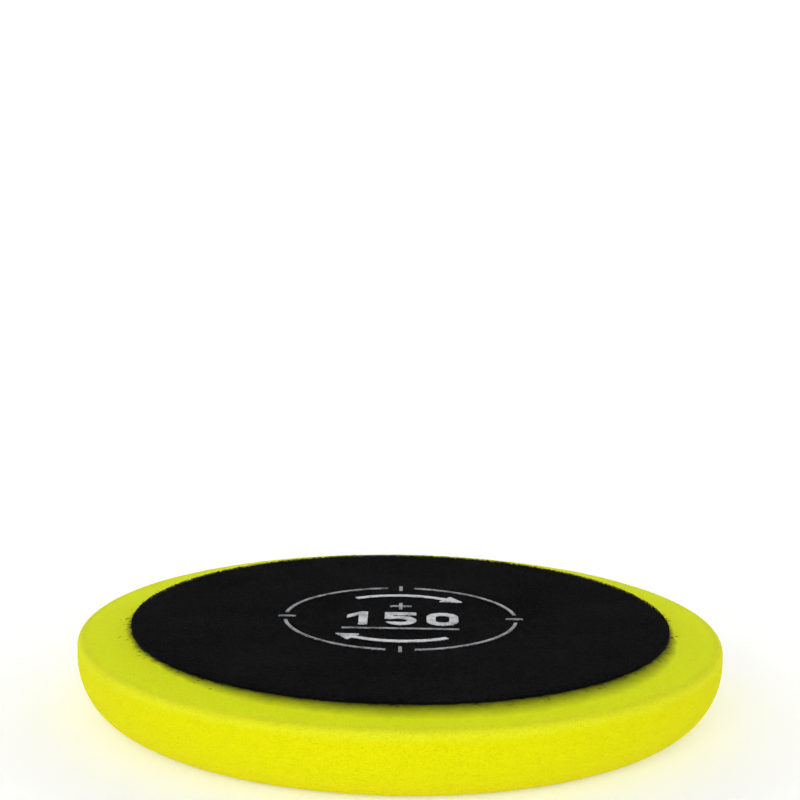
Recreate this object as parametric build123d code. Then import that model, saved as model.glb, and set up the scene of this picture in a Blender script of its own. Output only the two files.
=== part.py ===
from build123d import *
import math
import os

# A hook-and-loop foam polishing pad for a 125 mm backing plate, lying on its working face.
# Origin: centre of the flat working face, which rests on the table. +Z runs along the pad's
# axis to the loop side, and +Y points to the top of the printed marks. Millimetres.

# Driving dimensions
PAD_DIAMETER = 150.0
BACKING_DIAMETER = 125.0
PAD_HEIGHT = 20.0

# The laminated backing, from the foam up
FILM_THICKNESS = 0.2
CLOTH_THICKNESS = 0.4
PILE_HEIGHT = 0.9

# The foam's turned edge
SHOULDER_DROP = 1.5
RIDGE_RADIUS = 2.0
UNDERCUT_WIDTH = 11.0
UNDERCUT_HEIGHT = 13.0
BACKING_LAND = 0.5

# The ink, which soaks into the tips of the pile and ends level with them. A lap is how far one
# stroke of a mark runs into the next.
INK_DEPTH = 0.25
LINE_WIDTH = 0.8
RING_RADIUS = 27.0
TICK_LENGTH = 4.0
TICK_GAP = 1.6
RING_GAP_ANGLE = 14.0
ARROW_RADIUS = 20.0
ARROW_SWEEP = 64.0
ARROW_WIDTH = 1.5
ARROW_HEAD_LENGTH = 5.0
ARROW_HEAD_WIDTH = 5.2
ARROW_HEAD_LAP = 0.05
CROSS_ARM = 2.6
CROSS_HEIGHT = 10.0
DIGIT_HEIGHT = 10.6
DIGIT_WIDTH = 7.4
DIGIT_STROKE = 2.1
DIGIT_PITCH = 9.8
DIGIT_BASE = -6.4
FLAG_LAP = 0.2
MOUTH_RISE = 0.3
RULE_LENGTH = 27.0
RULE_HEIGHT = -9.4

# Proportions of the figures, from the width of their strokes
FLAG_REACH = 1.3 * DIGIT_STROKE
FLAG_THICKNESS = 0.9 * FLAG_REACH
MOUTH_HEIGHT = 1.5 * DIGIT_STROKE

PAD_RADIUS = PAD_DIAMETER / 2
BACKING_RADIUS = BACKING_DIAMETER / 2
FOAM_TOP = PAD_HEIGHT - PILE_HEIGHT - CLOTH_THICKNESS - FILM_THICKNESS
RIDGE_HEIGHT = FOAM_TOP - SHOULDER_DROP
INK_BASE = PAD_HEIGHT - INK_DEPTH


def disc(radius, base, height):
    """A flat round layer of the laminate, from base up."""
    return Pos(0, 0, base) * extrude(Circle(radius).face(), amount=height)


def foam_body():
    """The foam, turned from a half section: undercut edge, short wall, ridge and sloping shoulder."""
    land_edge = BACKING_RADIUS + BACKING_LAND
    face_edge = PAD_RADIUS - UNDERCUT_WIDTH
    slope = math.atan2(SHOULDER_DROP, PAD_RADIUS - land_edge)
    tangent = RIDGE_RADIUS * math.tan((math.pi / 2 - slope) / 2)
    ridge_low = (PAD_RADIUS, RIDGE_HEIGHT - tangent)
    ridge_high = (PAD_RADIUS - tangent * math.cos(slope), RIDGE_HEIGHT + tangent * math.sin(slope))
    edge = [
        Line((0, 0), (face_edge, 0)),
        EllipticalCenterArc(
            (face_edge, UNDERCUT_HEIGHT), UNDERCUT_WIDTH, UNDERCUT_HEIGHT, start_angle=270, arc_size=90
        ),
        Line((PAD_RADIUS, UNDERCUT_HEIGHT), ridge_low),
        TangentArc(ridge_low, ridge_high, tangent=(0, 1)),
        Line(ridge_high, (land_edge, FOAM_TOP)),
        Line((land_edge, FOAM_TOP), (0, FOAM_TOP)),
        Line((0, FOAM_TOP), (0, 0)),
    ]
    section = make_face(Plane.XZ * Wire(edge))
    return revolve(section, Axis.Z, 360)


def upright(sketch):
    """A sketch of the print as ink, sunk in the pile and level with its tips."""
    return Pos(0, 0, INK_BASE) * extrude(sketch, amount=INK_DEPTH)


def ring_sketch():
    """The centring ring, as four arcs with gaps where the ticks cross it."""
    ring = Circle(RING_RADIUS + LINE_WIDTH / 2) - Circle(RING_RADIUS - LINE_WIDTH / 2)
    gap = 2 * RING_RADIUS * math.sin(math.radians(RING_GAP_ANGLE) / 2)
    cross = Rectangle(gap, 3 * RING_RADIUS) + Rectangle(3 * RING_RADIUS, gap)
    return ring - cross


def tick_sketch():
    """One tick in each gap of the ring, lying across it."""
    reach = RING_RADIUS + TICK_GAP - TICK_LENGTH / 2
    ticks = Sketch()
    for quarter in range(4):
        ticks += Rot(0, 0, 90 * quarter) * Pos(0, reach) * Rectangle(LINE_WIDTH, TICK_LENGTH)
    return ticks


def arrow_sketch():
    """Two curved arrows that follow each other clockwise, the way the pad turns."""
    band = Circle(ARROW_RADIUS + ARROW_WIDTH / 2) - Circle(ARROW_RADIUS - ARROW_WIDTH / 2)
    half = math.radians(ARROW_SWEEP / 2)
    across = 2 * ARROW_RADIUS * math.sin(half)
    up = 2 * ARROW_RADIUS * math.cos(half)
    wedge = make_face(Polyline((0, 0), (-across, up), (across, up), close=True))
    head = make_face(
        Polyline((0, ARROW_HEAD_WIDTH / 2), (0, -ARROW_HEAD_WIDTH / 2), (ARROW_HEAD_LENGTH, 0), close=True)
    )
    arrow = (band & wedge) + Rot(0, 0, -ARROW_SWEEP / 2) * Pos(-ARROW_HEAD_LAP, ARROW_RADIUS) * head
    return arrow + Rot(0, 0, 180) * arrow


def cross_sketch():
    """The small centre cross above the size figures."""
    arms = Rectangle(2 * CROSS_ARM, LINE_WIDTH) + Rectangle(LINE_WIDTH, 2 * CROSS_ARM)
    return Pos(0, CROSS_HEIGHT) * arms


def rule_sketch():
    """The thin rule under the size figures."""
    return Pos(0, RULE_HEIGHT) * Rectangle(RULE_LENGTH, LINE_WIDTH)


def digit_one():
    """The figure 1: a stem with a slanting flag."""
    stem = Pos(DIGIT_STROKE / 2, 0) * Rectangle(DIGIT_STROKE, DIGIT_HEIGHT)
    top = DIGIT_HEIGHT / 2
    right = [(FLAG_LAP, top - FLAG_THICKNESS), (FLAG_LAP, top)]
    left = [(-FLAG_REACH, top - FLAG_REACH), (-FLAG_REACH, top - FLAG_REACH - FLAG_THICKNESS)]
    flag = make_face(Polyline(*right, *left, close=True))
    return stem + flag


def digit_five():
    """The figure 5: a top bar, a short stem and an open bowl."""
    top = DIGIT_HEIGHT / 2
    left = -DIGIT_WIDTH / 2
    bowl = DIGIT_WIDTH / 2
    bar = Pos(0, top - DIGIT_STROKE / 2) * Rectangle(DIGIT_WIDTH, DIGIT_STROKE)
    stem_height = DIGIT_HEIGHT - 2 * bowl + DIGIT_STROKE
    stem = Pos(left + DIGIT_STROKE / 2, top - stem_height / 2) * Rectangle(DIGIT_STROKE, stem_height)
    ring = Pos(0, -top + bowl) * (Circle(bowl) - Circle(bowl - DIGIT_STROKE))
    mouth = Pos(left, -top + bowl + MOUTH_RISE) * Rectangle(DIGIT_WIDTH, MOUTH_HEIGHT)
    return bar + stem + (ring - mouth)


def digit_nought():
    """The figure 0: an upright ring with straight sides."""
    outer = SlotOverall(DIGIT_HEIGHT, DIGIT_WIDTH, rotation=90)
    inner = SlotOverall(DIGIT_HEIGHT - 2 * DIGIT_STROKE, DIGIT_WIDTH - 2 * DIGIT_STROKE, rotation=90)
    return outer - inner


def figures_sketch():
    """The pad's diameter in millimetres, 150, in plain block figures."""
    middle = DIGIT_BASE + DIGIT_HEIGHT / 2
    figures = Sketch()
    for place, figure in enumerate((digit_one(), digit_five(), digit_nought())):
        figures += Pos((place - 1) * DIGIT_PITCH, middle) * figure
    return figures


os.makedirs("parts", exist_ok=True)

marks = {
    "print_centring_ring": upright(ring_sketch()),
    "print_quarter_ticks": upright(tick_sketch()),
    "print_turning_arrows": upright(arrow_sketch()),
    "print_centre_cross": upright(cross_sketch()),
    "print_size_figures": upright(figures_sketch()),
    "print_rule": upright(rule_sketch()),
}

pile = disc(BACKING_RADIUS, PAD_HEIGHT - PILE_HEIGHT, PILE_HEIGHT)
for mark in marks.values():
    pile -= mark

nodes = {
    "foam_body": foam_body(),
    "bond_film": disc(BACKING_RADIUS, FOAM_TOP, FILM_THICKNESS),
    "backing_cloth": disc(BACKING_RADIUS, FOAM_TOP + FILM_THICKNESS, CLOTH_THICKNESS),
    "loop_pile": pile,
    **marks,
}

for name, shape in nodes.items():
    export_step(shape, f"parts/{name}.step")
    print(name, "solids", len(shape.solids()), "volume", round(shape.volume, 2))
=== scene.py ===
"""The looks of a 150 mm foam polishing pad with a loop-faced backing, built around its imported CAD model.

The pad lies on its flat working face. Its foam is turned in pores and cut marks, a dark line of glue shows
round the backing, and the backing is a knitted cloth with a bed of brushed loops, loose loops on top, a fuzzy
cut edge and grey ink on the loops' tips. All lengths are in metres.
"""

import logging
import math
from dataclasses import dataclass, field
from enum import Enum, IntEnum

import bpy
import numpy as np
from mathutils import Euler, Matrix, Vector


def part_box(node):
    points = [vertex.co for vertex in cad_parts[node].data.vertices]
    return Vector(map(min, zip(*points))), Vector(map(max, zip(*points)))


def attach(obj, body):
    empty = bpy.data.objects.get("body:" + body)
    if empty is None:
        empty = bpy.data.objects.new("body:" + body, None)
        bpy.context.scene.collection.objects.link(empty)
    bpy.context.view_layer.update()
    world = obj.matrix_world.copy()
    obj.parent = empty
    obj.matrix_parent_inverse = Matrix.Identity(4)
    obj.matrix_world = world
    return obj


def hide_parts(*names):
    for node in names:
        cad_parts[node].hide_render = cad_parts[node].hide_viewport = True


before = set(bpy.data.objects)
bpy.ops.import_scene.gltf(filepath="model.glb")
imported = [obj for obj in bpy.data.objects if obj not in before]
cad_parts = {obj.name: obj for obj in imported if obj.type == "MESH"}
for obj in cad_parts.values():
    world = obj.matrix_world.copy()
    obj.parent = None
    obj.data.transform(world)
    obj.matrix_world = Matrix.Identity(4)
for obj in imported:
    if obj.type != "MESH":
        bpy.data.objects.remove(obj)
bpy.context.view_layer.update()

MM = 0.001
BODY = "root"
LOG = logging.getLogger("polishing_pad")

# How many points each thread of yarn has along it
THREAD_POINTS = 5

# The foam's level land past the backing's edge, and how far the bond film reaches down into the foam
BACKING_LAND = 0.5 * MM
GLUE_DEPTH = 0.1 * MM

Colour = tuple[float, float, float, float]
Pair = tuple[float, float]


class Lattice(IntEnum):
    """The noise lattice that each uneven surface takes its numbers from."""

    PORES = 11
    BLOWHOLES = 23
    TORN_FOAM = 37
    BLADE_WANDER = 41
    GLUE_EDGE = 51
    CLOTH_FRAY = 61
    INK_EDGE = 71
    TUFTS = 81
    FINE_TUFTS = 87
    PILE_EDGE = 91


class Draw(IntEnum):
    """The random draw that each kind of yarn takes its places and sizes from."""

    FEET = 7
    WHISKERS = 9
    LINT = 10
    SIDE_LOOPS = 11
    INKED_LOOPS = 103
    LOOPS = 211


# --------------------------------------------------------------------------------------------------
# Repeatable noise
# --------------------------------------------------------------------------------------------------


# The odd factors and the shifts that mix a lattice corner's coordinates and its seed
LATTICE_FACTORS = (0x8DA6B343, 0xD8163841, 0xCB1AB31F)
SEED_FACTOR = 0x9E3779B9
WORD = 0xFFFFFFFF
MIX_FACTORS = (0x2C1B3C6D, 0x297A2D39)
WIDE_SHIFT = 15
NARROW_SHIFT = 12


def lattice_number(x: np.ndarray, y: np.ndarray, z: np.ndarray, seed: int) -> np.ndarray:
    """A repeatable number from 0 to 1 for each corner of a whole-number lattice.

    Each coordinate is multiplied by its own large odd number, the products are joined by exclusive-or, and
    the result is mixed by shifts and multiplications.

    Args:
        x, y, z: The corner's whole-number coordinates, in arrays of one shape.
        seed: A whole number that picks one of many independent lattices.

    Returns:
        An array of the same shape, from 0 to 1.
    """
    products = [axis.astype(np.int64) * factor for axis, factor in zip((x, y, z), LATTICE_FACTORS)]
    h = products[0] ^ products[1] ^ products[2] ^ (seed * SEED_FACTOR)
    h = (h & WORD).astype(np.uint32)
    h ^= h >> np.uint32(WIDE_SHIFT)
    h *= np.uint32(MIX_FACTORS[0])
    h ^= h >> np.uint32(NARROW_SHIFT)
    h *= np.uint32(MIX_FACTORS[1])
    h ^= h >> np.uint32(WIDE_SHIFT)
    return h.astype(np.float64) / (WORD + 1)


def smooth_noise(points: np.ndarray, size: float, seed: int) -> np.ndarray:
    """Smooth noise from -1 to 1 through space.

    Each lattice corner holds a random number, and a point takes the eight corners of its cube, blended by
    6t^5 - 15t^4 + 10t^3 along each axis.

    Args:
        points: Places, one row of three each.
        size: The lattice's spacing.
        seed: Which lattice.

    Returns:
        One value for each point.
    """
    scaled = points / size
    corner = np.floor(scaled).astype(np.int64)
    t = scaled - corner
    ease = t * t * t * (t * (6 * t - 15) + 10)
    total = np.zeros(len(points))
    for dx in (0, 1):
        for dy in (0, 1):
            for dz in (0, 1):
                share = np.where(dx, ease[:, 0], 1 - ease[:, 0])
                share = share * np.where(dy, ease[:, 1], 1 - ease[:, 1])
                share = share * np.where(dz, ease[:, 2], 1 - ease[:, 2])
                total += share * lattice_number(corner[:, 0] + dx, corner[:, 1] + dy, corner[:, 2] + dz, seed)
    return 2 * total - 1


def layered_noise(points: np.ndarray, size: float, seed: int, layers: int = 3) -> np.ndarray:
    """Several smooth noises added up, each half the size and half the strength of the one before.

    Args:
        points: Places, one row of three each.
        size: The first lattice's spacing.
        seed: The first lattice.
        layers: How many noises.

    Returns:
        One value from -1 to 1 for each point.
    """
    total = np.zeros(len(points))
    for layer in range(layers):
        total += 0.5**layer * smooth_noise(points, size * 0.5**layer, seed + layer)
    return total / (2 - 0.5 ** (layers - 1))


def cell_distance(points: np.ndarray, size: float, seed: int) -> tuple[np.ndarray, np.ndarray]:
    """The distance from each point to the nearest cell centre, in cells, and that cell's own number.

    Every cube of a lattice holds one centre at a random place in it, and the 27 cubes round a point are
    searched for the nearest.

    Args:
        points: Places, one row of three each.
        size: The side of a cube.
        seed: Which lattice.

    Returns:
        The distances divided by size, and a random number from 0 to 1 for the nearest cell.
    """
    scaled = points / size
    home = np.floor(scaled).astype(np.int64)
    nearest = np.full(len(points), np.inf)
    number = np.zeros(len(points))
    for step in np.ndindex(3, 3, 3):
        x, y, z = (home + np.array(step) - 1).T
        centre = np.stack([lattice_number(x, y, z, seed + axis) for axis in range(3)], axis=1)
        centre += np.stack([x, y, z], axis=1)
        away = ((scaled - centre) ** 2).sum(axis=1)
        closer = away < nearest
        nearest = np.where(closer, away, nearest)
        own = lattice_number(x, y, z, seed + 3)
        number = np.where(closer, own, number)
    return np.sqrt(nearest), number


def eased(value: np.ndarray, low: float, high: float) -> np.ndarray:
    """0 below low, 1 above high, and 3t^2 - 2t^3 between them."""
    t = np.clip((value - low) / (high - low), 0, 1)
    return t * t * (3 - 2 * t)


# --------------------------------------------------------------------------------------------------
# Surfaces
# --------------------------------------------------------------------------------------------------


@dataclass
class Surface:
    """A closed surface: its points, and its faces of three and four corners, as rows of point numbers."""

    points: np.ndarray
    triangles: np.ndarray = field(default_factory=lambda: np.zeros((0, 3), np.int64))
    quads: np.ndarray = field(default_factory=lambda: np.zeros((0, 4), np.int64))

    def joined(self, other: "Surface") -> "Surface":
        """This surface and another one in a single piece, not welded.

        Args:
            other: The other surface.

        Returns:
            Both of them.
        """
        shift = len(self.points)
        return Surface(
            np.concatenate([self.points, other.points]),
            np.concatenate([self.triangles, other.triangles + shift]),
            np.concatenate([self.quads, other.quads + shift]),
        )

    def push_out(self, out: np.ndarray, push: np.ndarray) -> None:
        """Moves each point straight away from the axis.

        Args:
            out: Each point's distance from the axis.
            push: How far it moves.
        """
        self.points[:, :2] *= (1 + push / np.maximum(out, MM))[:, None]

    def piece(self, name: str, material: bpy.types.Material) -> bpy.types.Object:
        """Writes the surface into a new object at the origin, shaded smooth.

        Args:
            name: The piece's name.
            material: The finish that it wears.

        Returns:
            The object, linked into the scene.
        """
        mesh = bpy.data.meshes.new(name)
        corners = np.concatenate([self.triangles.ravel(), self.quads.ravel()]).astype(np.int32)
        sizes = np.repeat([3, 4], [len(self.triangles), len(self.quads)]).astype(np.int32)
        starts = (np.cumsum(sizes) - sizes).astype(np.int32)
        mesh.vertices.add(len(self.points))
        mesh.vertices.foreach_set("co", self.points.astype(np.float32).ravel())
        mesh.loops.add(len(corners))
        mesh.loops.foreach_set("vertex_index", corners)
        mesh.polygons.add(len(sizes))
        mesh.polygons.foreach_set("loop_start", starts)
        mesh.polygons.foreach_set("use_smooth", np.ones(len(sizes), bool))
        mesh.update(calc_edges=True)
        mesh.materials.append(material)
        made = bpy.data.objects.new(name, mesh)
        bpy.context.scene.collection.objects.link(made)
        LOG.info("%s: %d triangles", name, len(self.triangles) + 2 * len(self.quads))
        return made


def ring_sizes(radii: np.ndarray, spacing: float, first: int = 12) -> np.ndarray:
    """How many points go round each ring, so that neighbouring rings differ by a power of two.

    A count is first times the power of two that leaves the points from one to two spacings apart.

    Args:
        radii: The rings' radii.
        spacing: The closest that points stand on a ring.
        first: The fewest points on a ring.

    Returns:
        The counts.
    """
    doublings = np.floor(np.log2(np.maximum(2 * math.pi * radii / (first * spacing), 1)))
    return (first * 2**doublings).astype(np.int64)


def turned(radii: np.ndarray, heights: np.ndarray, counts: np.ndarray) -> tuple[Surface, np.ndarray]:
    """A closed round surface, turned about Z from a half section.

    The section starts and ends on the axis and runs out along the bottom, up, and back along the top. Each
    inner point of it becomes a ring. Neighbouring rings have as many points as each other, or twice or half
    as many, and then each long side takes three triangles.

    Args:
        radii: The section's distance from the axis, 0 at both ends.
        heights: Its height.
        counts: How many points go round each ring, for the section without its two ends.

    Returns:
        The surface, and the outward normal at each of its points.
    """
    along = np.stack([np.gradient(radii), np.gradient(heights)], axis=1)
    along /= np.maximum(np.linalg.norm(along, axis=1, keepdims=True), 1e-12)
    starts = 1 + np.concatenate([[0], np.cumsum(counts)])
    top = int(starts[-1])
    row = np.repeat(np.arange(1, len(radii) - 1), counts)
    place = np.arange(len(row)) - np.repeat(starts[:-1] - 1, counts)
    turn = 2 * math.pi * place / np.repeat(counts, counts)
    round_way = np.stack([np.cos(turn), np.sin(turn)], axis=1)
    points = np.zeros((top + 1, 3))
    normals = np.zeros((top + 1, 3))
    points[1:top, :2] = radii[row, None] * round_way
    points[1:top, 2] = heights[row]
    normals[1:top, :2] = along[row, 1, None] * round_way
    normals[1:top, 2] = -along[row, 0]
    points[0, 2], points[top, 2] = heights[0], heights[-1]
    normals[0, 2], normals[top, 2] = -1, 1
    triangles = []
    quads = []
    for k in range(len(counts) - 1):
        low, high = int(starts[k]), int(starts[k + 1])
        n, m = int(counts[k]), int(counts[k + 1])
        i = np.arange(min(n, m))
        after = (i + 1) % min(n, m)
        if n == m:
            quads.append(np.stack([low + i, low + after, high + after, high + i], axis=1))
        elif m == 2 * n:
            left, middle, right = high + 2 * i, high + 2 * i + 1, high + (2 * i + 2) % m
            triangles.append(np.stack([low + i, low + after, middle], axis=1))
            triangles.append(np.stack([low + i, middle, left], axis=1))
            triangles.append(np.stack([low + after, right, middle], axis=1))
        else:
            left, middle, right = low + 2 * i, low + 2 * i + 1, low + (2 * i + 2) % n
            triangles.append(np.stack([left, middle, high + i], axis=1))
            triangles.append(np.stack([middle, high + after, high + i], axis=1))
            triangles.append(np.stack([middle, right, high + after], axis=1))
    first, last = np.arange(counts[0]), np.arange(counts[-1])
    triangles.append(np.stack([0 * first, 1 + (first + 1) % counts[0], 1 + first], axis=1))
    rim = int(starts[-2])
    triangles.append(np.stack([rim + last, rim + (last + 1) % counts[-1], 0 * last + top], axis=1))
    return Surface(points, np.concatenate(triangles), np.concatenate(quads)), normals


def threads(paths: np.ndarray, across: np.ndarray, radius: np.ndarray) -> Surface:
    """Many closed threads of three-sided section, each carried along its own path.

    At each point of a path the section lies in the plane square to the path: one of its axes is the cross
    product of the path's direction and the thread's across direction, and the other is square to both. The
    first and last sections are closed by one triangle each.

    Args:
        paths: The points of each thread, as an array of threads by points by three.
        across: A direction for each thread that its path never runs along.
        radius: The section's radius, for each point of each thread.

    Returns:
        One surface that holds all the threads.
    """
    number, length, _ = paths.shape
    direction = np.gradient(paths, axis=1)
    direction /= np.maximum(np.linalg.norm(direction, axis=2, keepdims=True), 1e-12)
    one = np.cross(direction, across[:, None, :])
    one /= np.maximum(np.linalg.norm(one, axis=2, keepdims=True), 1e-12)
    two = np.cross(direction, one)
    corner = 2 * math.pi * np.arange(3) / 3
    offset = np.cos(corner)[:, None] * one[:, :, None, :] + np.sin(corner)[:, None] * two[:, :, None, :]
    points = (paths[:, :, None, :] + radius[:, :, None, None] * offset).reshape(-1, 3)
    step, side = np.meshgrid(np.arange(length - 1), np.arange(3), indexing="ij")
    step, side = step.ravel(), side.ravel()
    after = (side + 1) % 3
    wall = np.stack([3 * step + side, 3 * step + after, 3 * step + 3 + after, 3 * step + 3 + side], axis=1)
    caps = np.array([[2, 1, 0], [3 * length - 3, 3 * length - 2, 3 * length - 1]])
    base = 3 * length * np.arange(number)[:, None, None]
    return Surface(points, (base + caps).reshape(-1, 3), (base + wall).reshape(-1, 4))


# --------------------------------------------------------------------------------------------------
# Finishes
# --------------------------------------------------------------------------------------------------


def empty_material(name: str) -> bpy.types.Material:
    """A new material whose node tree is still empty.

    Args:
        name: The material's name.

    Returns:
        The material.
    """
    made = bpy.data.materials.new(name)
    made.use_nodes = True
    made.node_tree.nodes.clear()
    return made


@dataclass(frozen=True)
class FoamFinish:
    """Yellow open-cell foam with fine cells; painted light greens its shoulder, lights its worn ridge and
    shades it by the glued backing.
    """

    backing_radius: float
    ridge_radius: float
    shoulder_height: float
    wall: Colour = (0.695, 0.690, 0.001, 1)
    base: Colour = (0.75, 0.70, 0.001, 1)
    # Painted light: the foam is one yellow, and the shoulder's greener colour stands in for how light falls
    # on its upward face.
    shoulder: Colour = (0.74, 0.83, 0.004, 1)
    # Painted highlight over wear: the ridge's paler colour stands in for light glancing off the ridge, as
    # well as its broken cut cells.
    ridge: Colour = (0.71, 0.74, 0.015, 1)
    # Painted shadow over a little glue: the dark band by the backing stands in for the shadow of the
    # backing's edge.
    shadow_and_glue: Colour = (0.06, 0.075, 0.002, 1)
    # How far the painted shadow and glue reach past the backing all round, how much farther the painted
    # shadow reaches on one side, and which side that is.
    shadow_and_glue_reach: float = 1.4 * MM
    extra_shadow_reach: float = 5.6 * MM
    shadow_side: tuple[float, float, float] = (0.25, -0.97, 0)
    cell: float = 0.30 * MM
    large_cell: float = 0.60 * MM
    roughness: float = 0.9

    def material(self) -> bpy.types.Material:
        """Writes the foam's nodes.

        Returns:
            The material.
        """
        made = empty_material("yellow_foam")
        tree = made.node_tree

        places = tree.nodes.new("NodeFrame")
        places.label = "Where on the pad"
        where = tree.nodes.new("ShaderNodeTexCoord")
        where.label = "Place in the pad"
        where.location = (-1900, 0)
        parts = tree.nodes.new("ShaderNodeSeparateXYZ")
        parts.label = "Height and sides"
        parts.location = (-1720, 0)
        level = tree.nodes.new("ShaderNodeCombineXYZ")
        level.label = "Flattened to the table"
        level.location = (-1540, 0)
        reach = tree.nodes.new("ShaderNodeVectorMath")
        reach.label = "Distance from the axis"
        reach.location = (-1360, 0)
        for node in (where, parts, level, reach):
            node.parent = places

        zones = tree.nodes.new("NodeFrame")
        zones.label = "Colour by zone"
        wobble = tree.nodes.new("ShaderNodeTexNoise")
        wobble.label = "Soft edges between zones"
        wobble.location = (-1360, 420)
        wobble_size = tree.nodes.new("ShaderNodeMath")
        wobble_size.label = "Wobble in metres"
        wobble_size.location = (-1180, 420)
        wobbly_height = tree.nodes.new("ShaderNodeMath")
        wobbly_height.label = "Height with a wobble"
        wobbly_height.location = (-1000, 420)
        wobbly_reach = tree.nodes.new("ShaderNodeMath")
        wobbly_reach.label = "Distance with a wobble"
        wobbly_reach.location = (-1000, 240)
        up_wall = tree.nodes.new("ShaderNodeMapRange")
        up_wall.label = "Up the wall"
        up_wall.location = (-820, 560)
        # Where the shoulder's painted light tint takes over from the wall's yellow, and where the painted
        # shadow may lie.
        on_shoulder = tree.nodes.new("ShaderNodeMapRange")
        on_shoulder.label = "Onto the shoulder"
        on_shoulder.location = (-820, 380)
        # Where the ridge's painted highlight fades into the shoulder's tint.
        near_ridge = tree.nodes.new("ShaderNodeMapRange")
        near_ridge.label = "Away from the ridge"
        near_ridge.location = (-820, 200)
        # Painted shadow by the backing: from here down to its mix, wider on the side away from the light at
        # the back.
        outward = tree.nodes.new("ShaderNodeVectorMath")
        outward.label = "Way out from the axis"
        outward.location = (-1360, -160)
        shadow_facing = tree.nodes.new("ShaderNodeVectorMath")
        shadow_facing.label = "Towards the side with more glue"
        shadow_facing.location = (-1180, -160)
        # More painted shadow on one side, the side away from the light at the back.
        front = tree.nodes.new("ShaderNodeMapRange")
        front.label = "More glue on one side"
        front.location = (-1000, 40)
        # How far the painted shadow and glue reach past the backing here.
        shadow_width = tree.nodes.new("ShaderNodeMath")
        shadow_width.label = "How far glue has soaked"
        shadow_width.location = (-820, 20)
        past_edge = tree.nodes.new("ShaderNodeMath")
        past_edge.label = "Distance past the backing"
        past_edge.location = (-820, -120)
        shadow_share = tree.nodes.new("ShaderNodeMath")
        shadow_share.label = "Share of the soaked width"
        shadow_share.location = (-640, -40)
        near_backing = tree.nodes.new("ShaderNodeMapRange")
        near_backing.label = "Close to the backing"
        near_backing.location = (-460, -20)
        wall_mix = tree.nodes.new("ShaderNodeMix")
        wall_mix.label = "Warmer at the bottom"
        wall_mix.location = (-600, 560)
        # Painted light on the top: the shoulder's green tint fading into the ridge's painted highlight, then
        # laid over the wall.
        top_light_mix = tree.nodes.new("ShaderNodeMix")
        top_light_mix.label = "Paler worn ridge"
        top_light_mix.location = (-600, 300)
        zone_mix = tree.nodes.new("ShaderNodeMix")
        zone_mix.label = "Wall to shoulder"
        zone_mix.location = (-400, 460)
        # The painted shadow and glue lie on the shoulder only.
        shoulder_shadow_share = tree.nodes.new("ShaderNodeMath")
        shoulder_shadow_share.label = "Stain on the shoulder only"
        shoulder_shadow_share.location = (-400, 200)
        # Painted shadow of the backing's edge, over a little glue and lint.
        shadow_and_glue_mix = tree.nodes.new("ShaderNodeMix")
        shadow_and_glue_mix.label = "Glue and lint by the backing"
        shadow_and_glue_mix.location = (-200, 400)
        for node in (wobble, wobble_size, wobbly_height, wobbly_reach, up_wall, on_shoulder, near_ridge):
            node.parent = zones
        for node in (near_backing, outward, shadow_facing, front, shadow_width, past_edge, shadow_share):
            node.parent = zones
        for node in (wall_mix, top_light_mix, zone_mix, shoulder_shadow_share, shadow_and_glue_mix):
            node.parent = zones

        cells = tree.nodes.new("NodeFrame")
        cells.label = "Open cells"
        bubbles = tree.nodes.new("ShaderNodeTexVoronoi")
        bubbles.label = "Small cells"
        bubbles.location = (-1180, -300)
        burst = tree.nodes.new("ShaderNodeTexVoronoi")
        burst.label = "Burst cells"
        burst.location = (-1180, -620)
        fine = tree.nodes.new("ShaderNodeTexNoise")
        fine.label = "Torn cell walls"
        fine.location = (-1180, -940)
        marks_scale = tree.nodes.new("ShaderNodeMapping")
        marks_scale.label = "Long in the cutting direction"
        marks_scale.location = (-1180, -1220)
        cut_marks = tree.nodes.new("ShaderNodeTexNoise")
        cut_marks.label = "Cut marks"
        cut_marks.location = (-1000, -1220)
        burst_depth = tree.nodes.new("ShaderNodeMapRange")
        burst_depth.label = "Deep in a burst cell"
        burst_depth.location = (-980, -620)
        cells_sum = tree.nodes.new("ShaderNodeMath")
        cells_sum.label = "Small and burst cells"
        cells_sum.location = (-780, -420)
        torn_sum = tree.nodes.new("ShaderNodeMath")
        torn_sum.label = "With torn walls"
        torn_sum.location = (-600, -560)
        relief = tree.nodes.new("ShaderNodeMath")
        relief.label = "With cut marks"
        relief.location = (-420, -640)
        depth = tree.nodes.new("ShaderNodeMapRange")
        depth.label = "Deep in a cell"
        depth.location = (-420, -300)
        # Painted shade in the cells' hollows: the deeper in a cell, the darker and richer the colour.
        cell_shade_mix = tree.nodes.new("ShaderNodeMix")
        cell_shade_mix.label = "Richer colour in the cells"
        cell_shade_mix.location = (0, 200)
        bump = tree.nodes.new("ShaderNodeBump")
        bump.label = "Cell relief"
        bump.location = (0, -300)
        for node in (burst, marks_scale, cut_marks, burst_depth, cells_sum, torn_sum):
            node.parent = cells
        for node in (bubbles, fine, relief, depth, cell_shade_mix, bump):
            node.parent = cells

        shader = tree.nodes.new("ShaderNodeBsdfPrincipled")
        shader.label = "Soft matt foam"
        shader.location = (240, 200)
        output = tree.nodes.new("ShaderNodeOutputMaterial")
        output.label = "Foam"
        output.location = (540, 200)

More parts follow.
